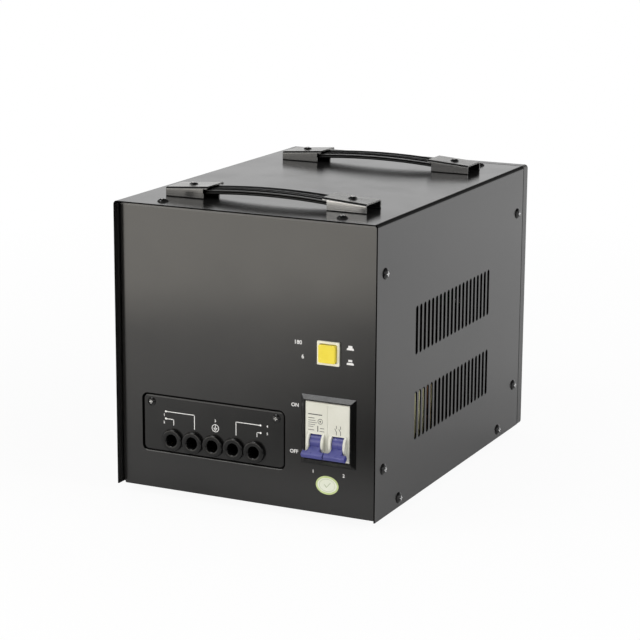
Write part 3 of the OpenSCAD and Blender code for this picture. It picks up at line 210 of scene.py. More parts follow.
def mapped(nodes, links, value, low, high, to_low=0.0, to_high=1.0, smooth=False):
    """A value from low to high, mapped to to_low to to_high."""
    node = nodes.new("ShaderNodeMapRange")
    if smooth:
        node.interpolation_type = "SMOOTHSTEP"
    node.inputs["From Min"].default_value = low
    node.inputs["From Max"].default_value = high
    node.inputs["To Min"].default_value = to_low
    node.inputs["To Max"].default_value = to_high
    links.new(value, node.inputs["Value"])
    return node.outputs["Result"]


def spread(nodes, links, fac, low, high):
    """A noise's usual range, from 0.3 to 0.7, mapped to low to high."""
    return mapped(nodes, links, fac, 0.3, 0.7, low, high)


def step_up(nodes, links, value, low, high):
    """0 below low, 1 above high, smooth between."""
    return mapped(nodes, links, value, low, high, smooth=True)


def mixed(nodes, links, part, first, second):
    """The first value where part is 0, the second where it is 1."""
    node = nodes.new("ShaderNodeMix")
    links.new(part, node.inputs["Factor"])
    put(links, first, node.inputs["A"])
    put(links, second, node.inputs["B"])
    return node.outputs["Result"]


def mixed_color(nodes, links, part, first, level):
    """The first colour where part is 0, a plain grey where it is 1."""
    node = nodes.new("ShaderNodeMix")
    node.data_type = "RGBA"
    # Factor, the two colours and their result are the colour mix's own sockets.
    links.new(part, node.inputs[0])
    links.new(first, node.inputs[6])
    node.inputs[7].default_value = (level, level, level, 1.0)
    return node.outputs[2]


def bumps(nodes, links, bsdf, height, strength, distance):
    """Fine bumps on a shader; returns their node, which can stand on a bevel."""
    node = nodes.new("ShaderNodeBump")
    node.inputs["Strength"].default_value = strength
    node.inputs["Distance"].default_value = distance
    links.new(height, node.inputs["Height"])
    links.new(node.outputs["Normal"], bsdf.inputs["Normal"])
    return node


def grey(level, tint=(1.0, 1.0, 1.0)):
    return tuple(level * t for t in tint)


# ---------------------------------------------------------------- parts of masks

def signed_parts(nodes, links, vector):
    """The X, Y and Z of a vector."""
    split = nodes.new("ShaderNodeSeparateXYZ")
    links.new(vector, split.inputs["Vector"])
    return list(split.outputs)


def parts_of(nodes, links, vector):
    """The absolute X, Y and Z of a vector."""
    return [calc(nodes, links, "ABSOLUTE", out) for out in signed_parts(nodes, links, vector)]


def facing(nodes, links):
    """How squarely a face looks along X, Y and Z, either way, 0 to 1."""
    geometry = nodes.new("ShaderNodeNewGeometry")
    return parts_of(nodes, links, geometry.outputs["True Normal"])


def both(nodes, links, first, second):
    """1 where both masks are 1."""
    return calc(nodes, links, "MULTIPLY", first, second)


def either(nodes, links, first, second):
    """1 where one of the masks is 1."""
    return calc(nodes, links, "MAXIMUM", first, second)


def inverse(nodes, links, mask):
    return calc(nodes, links, "SUBTRACT", 1.0, mask)


def beyond(nodes, links, value, edge, soft=SOFT):
    """0 up to an edge, 1 past its soft border, both in millimetres."""
    return step_up(nodes, links, value, edge * MM, (edge + soft) * MM)


def away_from(nodes, links, value, place):
    """Distance of a coordinate from a place, which is in metres."""
    return calc(nodes, links, "ABSOLUTE", calc(nodes, links, "SUBTRACT", value, place))


def past(nodes, links, value, length):
    """How far a value is past a length, or 0."""
    return calc(nodes, links, "MAXIMUM", calc(nodes, links, "SUBTRACT", value, length), 0.0)


def reach(nodes, links, first, second):
    """Length of a flat vector."""
    return calc(nodes, links, "SQRT", calc(
        nodes, links, "ADD", calc(nodes, links, "MULTIPLY", first, first),
        calc(nodes, links, "MULTIPLY", second, second)))


def side_slope(nodes, links):
    """How far a surface turns from facing the front or the rear, 0 to 1."""
    nx, _, nz = facing(nodes, links)
    return calc(nodes, links, "MAXIMUM", nx, nz)


def near_front(nodes, links, vector):
    """1 in the panel's own thickness and bend."""
    y = parts_of(nodes, links, vector)[1]
    return beyond(nodes, links, y, abs(PANEL_Y) - PANEL_DEPTH)


# ---------------------------------------------------------------- masks of the cover

def slot_shade_rims(nodes, links, vector):
    """Painted shade: 1 in a band round the cover's slots."""
    _, y, z = signed_parts(nodes, links, vector)
    half_pitch = SLOT_PITCH / 2 * MM
    first = (cover_low[1] + VENT_START) * MM
    across = calc(nodes, links, "WRAP", calc(nodes, links, "SUBTRACT", y, first), half_pitch,
                  -half_pitch)
    rises = [away_from(nodes, links, z, (BOTTOM_Z + level) * MM) for level in VENT_ZS]
    along = past(nodes, links, calc(nodes, links, "MINIMUM", *rises), (SLOT_H - SLOT_W) / 2 * MM)
    near = inverse(nodes, links, beyond(nodes, links, reach(nodes, links, across, along),
                                        SLOT_W / 2 + SLOT_SHADE))
    half_group = (SLOT_COUNT - 1) * half_pitch
    return both(nodes, links, near, calc(nodes, links, "COMPARE", y, first + half_group,
                                         half_group + half_pitch))


def rear_dark_border(nodes, links, vector):
    """1 on a band along the cover's rear border, which is painted near black."""
    y = signed_parts(nodes, links, vector)[1]
    return beyond(nodes, links, y, cover_high[1] - REAR_DARK_BORDER)


def cover_edge_shade(nodes, links, vector):
    """Painted shade: 1 on the cover's sheared edges, in its slots and on its bends, which are
    painted near black.
    """
    nx, ny, nz = facing(nodes, links)
    far_x = beyond(nodes, links, parts_of(nodes, links, vector)[0], cover_high[0] - COVER_SIDE)
    shear = step_up(nodes, links, ny, 0.4, 0.7)
    slot = both(nodes, links, far_x, inverse(nodes, links, step_up(nodes, links, nx, 0.2, 0.4)))
    bend = step_up(nodes, links, calc(nodes, links, "MINIMUM", nx, nz), 0.12, 0.4)
    return either(nodes, links, either(nodes, links, shear, slot), bend)


# ---------------------------------------------------------------- masks of the panel and lid

def panel_top_highlight(nodes, links, vector):
    """Painted highlight: 1 along the panel's upper border, under the cover's edge."""
    z = parts_of(nodes, links, vector)[2]
    return both(nodes, links, near_front(nodes, links, vector),
                beyond(nodes, links, z, TOP_Z - PANEL_HIGHLIGHT, PANEL_HIGHLIGHT_SOFT))


def bend_shade(nodes, links, vector):
    """1 on the rest of the panel's bends and on its sheared edges."""
    return both(nodes, links, near_front(nodes, links, vector),
                step_up(nodes, links, side_slope(nodes, links), 0.5, 0.6))


def cutout_shade(nodes, links, vector):
    """Painted shade: 1 in a band round the lid's cut-out."""
    x, _, z = signed_parts(nodes, links, vector)
    sides = []
    for value, low, high in ((x, lid_low[0], lid_high[0]), (z, lid_low[2], lid_high[2])):
        off = away_from(nodes, links, value, (low + high) / 2 * MM)
        sides.append(past(nodes, links, off, ((high - low) / 2 - LID_R) * MM))
    rim = beyond(nodes, links, reach(nodes, links, *sides), LID_R + LID_GAP + CUTOUT_SHADE)
    return both(nodes, links, near_front(nodes, links, vector), inverse(nodes, links, rim))


def lid_sill_highlight(nodes, links, vector):
    """Painted highlight: 1 along the lower edge of the lid's cut-out."""
    below = calc(nodes, links, "LESS_THAN", signed_parts(nodes, links, vector)[2],
                 (lid_low[2] - SILL_DROP) * MM)
    return both(nodes, links, cutout_shade(nodes, links, vector), below)


def lid_top_highlight(nodes, links, vector):
    """Painted highlight: 1 along the lid's upper border."""
    z = parts_of(nodes, links, vector)[2]
    return beyond(nodes, links, z, lid_high[2] - LID_HIGHLIGHT, LID_HIGHLIGHT_SOFT)


def sheared(nodes, links, vector):
    """Painted shade: 1 on a plate's edges, which are painted near black."""
    return step_up(nodes, links, side_slope(nodes, links), 0.3, 0.5)


# ---------------------------------------------------------------- masks of the handles

def flange_faces(nodes, links, vector):
    """1 on the end caps' side walls."""
    return step_up(nodes, links, facing(nodes, links)[1], 0.8, 0.97)


def shaded_flanges(nodes, links, vector):
    """Painted shade: 1 on the side walls of the caps at the left and at the rear, which are
    painted darker than those at the right front.
    """
    x, y, _ = signed_parts(nodes, links, vector)
    shaded_side = either(nodes, links, calc(nodes, links, "LESS_THAN", x, 0.0),
                  calc(nodes, links, "GREATER_THAN", y, 0.0))
    return both(nodes, links, flange_faces(nodes, links, vector), shaded_side)


def flange_bend_shade(nodes, links, vector):
    """Painted shade: 1 on the end caps' bends and on the foot of their side walls."""
    _, ny, nz = facing(nodes, links)
    bend = step_up(nodes, links, calc(nodes, links, "MINIMUM", ny, nz), 0.25, 0.5)
    height = parts_of(nodes, links, vector)[2]
    foot = inverse(nodes, links, beyond(nodes, links, height, TOP_Z + CAP_FOOT_SHADE, CAP_FOOT_SHADE_SOFT))
    return either(nodes, links, bend, foot)


def screw_crown_glints(nodes, links, vector):
    """Painted highlight: 1 on the middle of an upright screw's head, painted as a light glint."""
    return step_up(nodes, links, facing(nodes, links)[2], 0.955, 0.985)


def strap_shade(nodes, links, vector):
    """Painted shade: 1 on the strap, made near black, apart from a thin line along each side of a
    bead that keeps the strap's lighter grey as a painted highlight.
    """
    slope = facing(nodes, links)[2]
    line = both(nodes, links, step_up(nodes, links, slope, 0.2, 0.35),
                inverse(nodes, links, step_up(nodes, links, slope, 0.5, 0.65)))
    return inverse(nodes, links, line)


# ---------------------------------------------------------------- materials

def finish_surface(name, dark, light, rough, metal=0.0, ior=1.5, patch=14.0, grain=900.0,
                   bump=0.02, depth=0.0002, stretch=None, edge=0.0003, coat=0.0, masks=()):
    """A surface with patchy colour, uneven gloss, fine grain and softly rounded edges.

    A mask, which may paint shade or a highlight, comes with the grey, the roughness and the metal
    of what it covers.
    """
    nodes, links, bsdf, vector = tree(name)
    color_fac = noise(nodes, links, vector, patch, 5.0, 0.6, stretch)
    color = ramp(nodes, links, color_fac, [(0.32, dark), (0.68, light)])
    gloss_fac = noise(nodes, links, vector, patch * 3.1, 4.0, 0.6, stretch)
    gloss = spread(nodes, links, gloss_fac, *rough)
    shine = metal
    for mask, mask_level, mask_rough, mask_metal in masks:
        part = mask(nodes, links, vector)
        color = mixed_color(nodes, links, part, color, mask_level)
        gloss = mixed(nodes, links, part, gloss, mask_rough)
        shine = mixed(nodes, links, part, shine, mask_metal)
    put(links, shine, bsdf.inputs["Metallic"])
    links.new(color, bsdf.inputs["Base Color"])
    links.new(gloss, bsdf.inputs["Roughness"])
    grain_fac = noise(nodes, links, vector, grain, 4.0, 0.6, stretch)
    grain_bumps = bumps(nodes, links, bsdf, grain_fac, bump, depth)
    if edge:
        bevel = nodes.new("ShaderNodeBevel")
        bevel.samples = 4
        bevel.inputs["Radius"].default_value = edge
        links.new(bevel.outputs["Normal"], grain_bumps.inputs["Normal"])
    bsdf.inputs["IOR"].default_value = ior
    bsdf.inputs["Coat Weight"].default_value = coat
    bsdf.inputs["Coat Roughness"].default_value = 0.08


def two_tone(nodes, links, bsdf, fac, dark, light, rough):
    """Colour and gloss that follow one noise."""
    links.new(ramp(nodes, links, fac, [(0.3, dark), (0.7, light)]), bsdf.inputs["Base Color"])
    links.new(spread(nodes, links, fac, *rough), bsdf.inputs["Roughness"])


def smoked_window():
    nodes, links, bsdf, vector = tree("smoked_window")
    two_tone(nodes, links, bsdf, noise(nodes, links, vector, 30.0), grey(0.10), grey(0.13),
             (0.04, 0.09))
    bsdf.inputs["Transmission Weight"].default_value = 0.9
    bsdf.inputs["IOR"].default_value = 1.49


def winding_copper():
    """Enamelled wire, every turn its own shade of copper."""
    nodes, links, bsdf, vector = tree("winding_copper")
    two_tone(nodes, links, bsdf, noise(nodes, links, vector, 180.0, 3.0, 0.6, ROUND_TURN),
             (0.42, 0.16, 0.06), (0.6, 0.27, 0.1), (0.25, 0.4))
    bsdf.inputs["Metallic"].default_value = 0.85


def winding_tape():
    """Dull yellow polyester tape with a fine, uneven grain."""
    nodes, links, bsdf, vector = tree("winding_tape")
    two_tone(nodes, links, bsdf, noise(nodes, links, vector, 60.0, 4.0, 0.6),
             (0.8, 0.77, 0.42), (0.9, 0.87, 0.54), (0.25, 0.4))
    bumps(nodes, links, bsdf, noise(nodes, links, vector, 500.0), 0.2, 0.0003)


# Noise drawn out along an axis, or round the ring.
ALONG_X = (0.04, 1.0, 1.0)
ALONG_Z = (1.0, 1.0, 0.04)
ROUND_TURN = (1.0, 1.0, 0.3)

# What masks cover with a dark line, which mostly stands for painted shade: its grey, roughness
# and metal.
DARK_LINE = (0.002, 0.6, 1.0)
PAINT = dict(dark=grey(0.0075), light=grey(0.0105, (1.05, 1.0, 0.97)), rough=(0.16, 0.21),
             ior=1.56, patch=7.0, grain=1500.0, bump=0.04, depth=0.00006)
BOARD = dict(dark=(0.008, 0.07, 0.02), light=(0.015, 0.11, 0.035), rough=(0.25, 0.4), patch=120.0)
INK = dict(rough=(0.45, 0.6), patch=300.0, grain=3000.0, bump=0.1, edge=0.0)
STICKER = dict(rough=(0.3, 0.4), grain=2500.0, bump=0.1, edge=0.0)

# Cabinet and handles.
# On the cabinet and the cover, the masks paint shade on bends, edges and slots and round the
# lid's cut-out, and paint highlights along the panel's top and the cut-out's lower edge.
finish_surface("cabinet_paint", edge=0.0006, **PAINT,
               masks=[(panel_top_highlight, 0.07, 0.3, 0.0), (bend_shade, *DARK_LINE),
                      (cutout_shade, *DARK_LINE), (lid_sill_highlight, 0.1, 0.3, 0.0)])
finish_surface("cover_paint", edge=0.0003, **PAINT,
               masks=[(cover_edge_shade, *DARK_LINE), (slot_shade_rims, *DARK_LINE), (rear_dark_border, *DARK_LINE)])
# On the lid, the masks paint a highlight along its top and shade on its edges.
finish_surface("lid_paint", grey(0.005), grey(0.008), (0.2, 0.26), ior=1.46, patch=20.0,
               grain=1700.0, bump=0.08, depth=0.0001, edge=0.0004,
               masks=[(lid_top_highlight, 0.05, 0.3, 0.0), (sheared, *DARK_LINE)])
finish_surface("black_screw", grey(0.003), grey(0.007), (0.12, 0.2), ior=1.45, patch=400.0,
               grain=2500.0, bump=0.1, edge=0.0002)
finish_surface("foot_rubber", grey(0.012), grey(0.022), (0.7, 0.85), patch=90.0, grain=2200.0,
               bump=0.25, edge=0.0006)
# The strap's lighter grey shows only in thin lines along the beads, as painted highlights;
# strap_shade paints the rest as near-black shade.
finish_surface("strap_plastic", grey(0.06), grey(0.09), (0.13, 0.2), patch=40.0, grain=2400.0,
               bump=0.06, stretch=ALONG_X, edge=0.0, masks=[(strap_shade, 0.004, 0.4, 1.0)])
# Caps: the masks paint shade on the bends, at the foot and on the left and rear caps' side walls.
finish_surface("cap_nickel", grey(0.3, (1.0, 0.99, 0.96)), grey(0.42, (1.0, 0.99, 0.96)),
               (0.2, 0.32), metal=1.0, patch=160.0, grain=1600.0, bump=0.12, stretch=ALONG_X,
               edge=0.0004, masks=[(flange_faces, 0.36, 0.2, 1.0), (shaded_flanges, 0.15, 0.2, 1.0),
                                   (flange_bend_shade, 0.01, 0.5, 1.0)])
# The heads are near black, with a painted glint in the middle of each.
finish_surface("handle_screw_steel", grey(0.004), grey(0.01), (0.15, 0.25), ior=1.45,
               patch=400.0, edge=0.0002, masks=[(screw_crown_glints, 0.7, 0.3, 0.2)])
finish_surface("zinc_steel", grey(0.5, (1.0, 1.0, 0.96)), grey(0.66), (0.25, 0.42), metal=1.0,
               patch=300.0, grain=2600.0, bump=0.08)
# Bright steel of the crosses in the screws' recesses, which are painted glints.
finish_surface("glint_steel", grey(0.6), grey(0.8), (0.3, 0.4), metal=0.3, patch=300.0,
               grain=2600.0, bump=0.08, edge=0.0)

# Terminals, breaker and button.
# Near black, dull and nearly without reflection: partly the box's colour and partly painted shade
# for the gap round the lid.
finish_surface("box_plastic", grey(0.003), grey(0.005), (0.8, 0.9), ior=1.12, patch=50.0,
               grain=2200.0, bump=0.2)
finish_surface("grommet_rubber", grey(0.002), grey(0.004), (0.16, 0.24), ior=1.42, patch=120.0,
               grain=2400.0, bump=0.05, edge=0.0008)
finish_surface("block_plastic", grey(0.012), grey(0.02), (0.5, 0.6), patch=90.0, grain=2200.0,
               bump=0.2)
finish_surface("clamp_brass", (0.5, 0.34, 0.12), (0.66, 0.47, 0.2), (0.25, 0.4), metal=1.0,
               patch=200.0, stretch=ALONG_X)
finish_surface("bezel_plastic", grey(0.004), grey(0.006), (0.2, 0.27), ior=1.46, patch=60.0,
               grain=2400.0, bump=0.1, edge=0.0003)
finish_surface("breaker_ivory", grey(0.68, (1.0, 1.0, 0.88)), grey(0.73, (1.0, 1.0, 0.9)),
               (0.38, 0.46), patch=30.0, grain=2600.0, bump=0.1, edge=0.0004)
finish_surface("pin_steel", grey(0.45), grey(0.6), (0.2, 0.3), metal=1.0, patch=300.0,
               stretch=ALONG_X)
finish_surface("lever_blue", (0.046, 0.05, 0.22), (0.064, 0.067, 0.28), (0.26, 0.34), patch=90.0,
               grain=2600.0, bump=0.08, edge=0.0005)
finish_surface("rail_steel", grey(0.5, (1.0, 0.98, 0.86)), grey(0.64, (1.0, 0.99, 0.9)),
               (0.28, 0.42), metal=1.0, patch=90.0, stretch=ALONG_X)
# Near black and dull: partly a black coat and partly painted shade for the slots, through which
# the bracket is seen.
finish_surface("bracket_steel", grey(0.004), grey(0.007), (0.5, 0.6), ior=1.12, patch=40.0,
               grain=1500.0, bump=0.1, stretch=ALONG_Z)
finish_surface("button_white", (0.84, 0.82, 0.68), (0.88, 0.86, 0.73), (0.2, 0.28), patch=60.0,
               grain=2600.0, bump=0.05, edge=0.0004)
finish_surface("button_yellow", (0.82, 0.66, 0.035), (0.87, 0.72, 0.055), (0.2, 0.28),
               patch=70.0, grain=2600.0, bump=0.05, edge=0.0006)
finish_surface("switch_plastic", grey(0.66), grey(0.72), (0.4, 0.5), patch=60.0)

# Transformer and electronics.
finish_surface("core_steel", grey(0.28), grey(0.4), (0.4, 0.55), metal=1.0, patch=60.0)
finish_surface("pad_rubber", grey(0.012), grey(0.02), (0.7, 0.8), patch=60.0, grain=1800.0,
               bump=0.25)
finish_surface("dish_steel", (0.4, 0.33, 0.14), (0.6, 0.5, 0.28), (0.28, 0.42), metal=1.0,
               patch=60.0)
finish_surface("board_green", **BOARD)
finish_surface("relay_plastic", (0.01, 0.04, 0.2), (0.016, 0.06, 0.26), (0.25, 0.35), patch=80.0)
finish_surface("can_black", grey(0.01, (1.0, 1.0, 1.4)), grey(0.016), (0.2, 0.3), patch=80.0)
finish_surface("plug_white", grey(0.68), grey(0.75), (0.4, 0.5), patch=80.0)
winding_copper()
winding_tape()

# Far end.
finish_surface("fascia_plastic", grey(0.009), grey(0.013), (0.2, 0.26), patch=16.0, grain=2600.0,
               bump=0.12, depth=0.0001, edge=0.0008)
finish_surface("display_board_green", **BOARD)
finish_surface("display_plastic", (0.03, 0.004, 0.004), (0.05, 0.008, 0.007), (0.15, 0.25),
               patch=60.0, edge=0.0004)
finish_surface("lamp_lens", (0.32, 0.012, 0.008), (0.45, 0.02, 0.012), (0.12, 0.2), patch=200.0,
               edge=0.0002, coat=0.6)
finish_surface("spacer_plastic", grey(0.6, (1.0, 0.98, 0.9)), grey(0.72, (1.0, 0.98, 0.92)),
               (0.4, 0.5), patch=200.0)
finish_surface("segment_grey", grey(0.18, (1.0, 0.8, 0.75)), grey(0.24), (0.4, 0.5), patch=200.0,
               edge=0.0)
smoked_window()

# Prints and sticker.
finish_surface("white_ink", grey(0.8), grey(0.88), **INK)
finish_surface("black_ink", grey(0.035), grey(0.09), **INK)
finish_surface("faint_ink", (0.4, 0.46, 0.3), (0.5, 0.56, 0.38), **INK)
finish_surface("sticker_cream", (0.76, 0.8, 0.66), (0.82, 0.85, 0.74), patch=150.0, **STICKER)
finish_surface("sticker_rim", (0.52, 0.62, 0.26), (0.6, 0.7, 0.34), patch=200.0, **STICKER)

slot_of = {row["node"]: row["material_slot"] for row in frame["record"]["subparts"]}
for node, thing in frame["nodes"].items():
    for holder in thing.material_slots:
        holder.material = mats["cover_paint" if node == "cover" else slot_of[node]]


# ---------------------------------------------------------------- piece makers

def piece(name, mesh, materials):
    """A piece of the scene, carried by the cabinet, in materials named as in mats."""
    thing = bpy.data.objects.new(name, mesh)
    bpy.context.collection.objects.link(thing)
    for mat in materials:
        mesh.materials.append(mats[mat])
    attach(thing, "cabinet")
    return thing


def mesh_of(bm, name):
    """The mesh that a bmesh holds, with its normals outward."""
    bmesh.ops.recalc_face_normals(bm, faces=bm.faces)
    mesh = bpy.data.meshes.new(name)
    bm.to_mesh(mesh)
    bm.free()
    return mesh


def prism(bm, loop, depth, index=0):
    """A closed loop of 3-D points, in mm, pushed along depth. The loop may be concave."""
    front = [bm.verts.new(Vector(p) * MM) for p in loop]
    back = [bm.verts.new((Vector(p) + Vector(depth)) * MM) for p in loop]
    count = len(loop)
    faces = [bm.faces.new(front), bm.faces.new(list(reversed(back)))]
    for i in range(count):
        j = (i + 1) % count
        faces.append(bm.faces.new((front[j], front[i], back[i], back[j])))
    for face in faces:
        face.material_index = index


def oval(centre, radii, steps):
    """Points round an ellipse, as X and Z."""
    turns = [2 * math.pi * k / steps for k in range(steps)]
    return [(centre[0] + radii[0] * math.cos(turn), centre[1] + radii[1] * math.sin(turn))
            for turn in turns]


def ring(bm, centre, outer, inner, y, thick=PRINT_T, steps=40):
    """A flat ring between two ellipses, facing -Y."""
    def loop(radii, level):
        return [bm.verts.new(Vector((x, level, z)) * MM) for x, z in oval(centre, radii, steps)]
    loops = [loop(outer, y - thick), loop(inner, y - thick), loop(inner, y), loop(outer, y)]
    for a, b in ((0, 1), (1, 2), (2, 3), (3, 0)):
        for k in range(steps):
            j = (k + 1) % steps
            bm.faces.new((loops[a][k], loops[a][j], loops[b][j], loops[b][k]))


def flat(bm, points, y, thick=PRINT_T, index=0):
    """A thin plate on the plane Y = y, facing -Y."""
    prism(bm, [(x, y - thick, z) for x, z in points], (0.0, thick, 0.0), index)


def stroke(bm, start, end, y, width):
    """A straight printed line with square ends."""
    a, b = Vector(start), Vector(end)
    along = (b - a).normalized()
    side = Vector((-along.y, along.x)) * width / 2
    tip = along * width / 2
    corners = [a - tip + side, a - tip - side, b + tip - side, b + tip + side]
    flat(bm, [(c.x, c.y) for c in corners], y)


def disc(bm, centre, radius, y):
    flat(bm, oval(centre, (radius, radius), 28), y)


def at(x, z):
    """A place on the front as X and Z in the frame."""
    return x + LEFT_X, z + BOTTOM_Z


def lettering(name, text, place, height, y):
    """Plain white numbers or words as a thin raised print, centred on a place."""
    curve = bpy.data.curves.new(name, "FONT")
    curve.body = text
    curve.size = height * FONT_SCALE * MM
    curve.align_x = "CENTER"
    curve.align_y = "CENTER"
    curve.extrude = PRINT_T / 2 * MM
    curve.offset = INK_SPREAD * MM
    curve.resolution_u = 3
    source = bpy.data.objects.new(name + "_source", curve)
    bpy.context.collection.objects.link(source)
    graph = bpy.context.evaluated_depsgraph_get()
    mesh = bpy.data.meshes.new_from_object(source.evaluated_get(graph))
    bpy.data.objects.remove(source)
    x, z = at(*place)
    middle = Vector((x * MM, (y - PRINT_T / 2) * MM, z * MM))
    mesh.transform(Matrix.Translation(middle) @ Matrix.Rotation(math.pi / 2, 4, "X"))
    mesh.name = name
    mesh.materials.clear()
    piece(name, mesh, ["white_ink"])


# ---------------------------------------------------------------- prints on the lid

def circuit_lines():
    """Lines from the terminals to their ends, which are marked with a dot."""
    bm = bmesh.new()
    line_w, dot_r, dot_rise = 0.55, 0.8, 0.01
    for points, dot in (
            ([(39.4, 61.2), (64.5, 61.2), (64.5, 50.0)], (39.4, 61.2)),
            ([(39.4, 55.4), (46.3, 55.4), (46.3, 51.0)], (39.4, 55.4)),
            ([(100.5, 50.3), (100.5, 60.6), (121.4, 60.6)], (121.4, 60.6)),
            ([(118.4, 51.4), (118.4, 54.7), (121.5, 54.7)], (121.5, 54.7))):
        for a, b in zip(points, points[1:]):
            stroke(bm, at(*a), at(*b), LID_Y, line_w)
        disc(bm, at(*dot), dot_r, LID_Y - dot_rise)
    piece("lid_circuit_lines", mesh_of(bm, "lid_circuit_lines"), ["white_ink"])


def earth_sign():
    bm = bmesh.new()
    x, z = centre = at(82.7, 53.3)
    ring(bm, centre, (3.1, 3.1), (2.6, 2.6), LID_Y)
    stroke(bm, (x, z + 1.9), (x, z + 0.1), LID_Y, 0.5)
    for drop, half in ((0.0, 1.5), (0.8, 1.0), (1.6, 0.45)):
        stroke(bm, (x - half, z - drop), (x + half, z - drop), LID_Y, 0.45)
    piece("lid_earth_sign", mesh_of(bm, "lid_earth_sign"), ["white_ink"])


def lid_numbers():
    for text, place in (("1", (38.0, 58.3)), ("2", (38.0, 52.4)), ("3", (82.7, 59.0)),
                        ("4", (127.2, 60.4)), ("5", (127.2, 54.6))):
        lettering("lid_number_" + text, text, place, 2.0, LID_Y)


# ---------------------------------------------------------------- prints on the panel

def panel_marks():
    for name, text, place, height in (
            ("mark_on", "ON", (151.0, 80.7), 2.9), ("mark_off", "OFF", (150.2, 44.5), 2.9),
            ("mark_long", "180", (153.2, 129.1), 3.2), ("mark_short", "6", (157.2, 118.6), 3.2),
            ("mark_pole_1", "1", (166.2, 31.0), 2.6), ("mark_pole_2", "2", (191.4, 30.8), 2.6)):
        lettering(name, text, place, height, PANEL_Y)


def button_pictograms():
    """A button out of and in its frame: a chamfered base with a block on or over it."""
    bm = bmesh.new()
    base_half, base_h, shoulder_h, shoulder_half, block_half = 2.9, 1.7, 0.9, 2.2, 1.6
    for base_z, block_h, gap in ((127.7, 1.7, 0.0), (116.5, 1.6, 0.7)):
        x, z = at(196.0, base_z)
        flat(bm, [(x - base_half, z), (x + base_half, z), (x + base_half, z + shoulder_h),
                  (x + shoulder_half, z + base_h), (x - shoulder_half, z + base_h),
                  (x - base_half, z + shoulder_h)], PANEL_Y)
        low = z + base_h + gap
        flat(bm, [(x - block_half, low), (x + block_half, low), (x + block_half, low + block_h),
                  (x - block_half, low + block_h)], PANEL_Y)
    piece("button_pictograms", mesh_of(bm, "button_pictograms"), ["white_ink"])


# ---------------------------------------------------------------- oval sticker

def sticker():
    """A cream oval in a green ring, with a fine ring and a tick printed on it."""
    bm = bmesh.new()
    x, z = centre = at(177.9, 21.7)
    steps = 64
    middle_t = STICKER_T * 0.8
    ring(bm, centre, (9.4, 7.2), (8.1, 5.7), PANEL_Y, STICKER_T, steps)
    flat(bm, oval(centre, (8.12, 5.72), steps), PANEL_Y, middle_t, 1)
    piece("oval_sticker", mesh_of(bm, "oval_sticker"), ["sticker_rim", "sticker_cream"])
    bm = bmesh.new()
    face_y = PANEL_Y - middle_t
    ring(bm, centre, (6.6, 4.9), (6.3, 4.6), face_y, PRINT_T, steps)
    for a, b in (((-2.2, 0.3), (-0.6, -1.7)), ((-0.6, -1.7), (2.6, 2.0))):
        stroke(bm, (x + a[0], z + a[1]), (x + b[0], z + b[1]), face_y, 0.5)
    piece("sticker_tick", mesh_of(bm, "sticker_tick"), ["faint_ink"])


# ---------------------------------------------------------------- marks on the breaker

def breaker_marks():
    """Plain rating lines, a circle and the two poles' switch signs."""
    bm = bmesh.new()
    y = poles_low[1] + POLE_STEP_IN
    left = (poles_low[0] + poles_high[0]) / 2 - POLE_PITCH / 2
    right = left + POLE_PITCH
    top = at(0.0, WINDOW_TOP_Z)[1]
    # Drop from the window's top, start and end from the pole's middle, and width.
    for drop, start, end, width in (
            (9.3, -6.4, 4.4, 0.75), (12.2, -6.4, -1.8, 0.5), (14.1, -6.4, -0.8, 0.4),
            (15.7, -6.4, 0.2, 0.4), (17.3, -6.4, -1.2, 0.4), (18.9, -6.4, -2.6, 0.4),
            (21.4, -6.4, -2.0, 0.5), (19.6, 3.2, 6.2, 0.45), (21.9, 3.0, 6.4, 0.45)):
        stroke(bm, (left + start, top - drop), (left + end, top - drop), y, width)
    circle = (left + 3.2, top - 14.4)
    ring(bm, circle, (2.1, 2.1), (1.7, 1.7), y)
    disc(bm, circle, 0.7, y)
    stroke(bm, (left + 1.2, top - 18.2), (left + 1.2, top - 22.0), y, 0.7)
    for side in (-1.7, 1.7):
        x, z = right + side, top - 19.6
        for start, end in (((0.0, 3.4), (0.0, 1.5)), ((0.0, -1.0), (-1.3, 1.2)),
                           ((0.0, -1.0), (0.0, -3.2))):
            stroke(bm, (x + start[0], z + start[1]), (x + end[0], z + end[1]), y, 0.5)
    piece("breaker_circuit_marks", mesh_of(bm, "breaker_circuit_marks"), ["black_ink"])


# ---------------------------------------------------------------- painted glints in the screw recesses

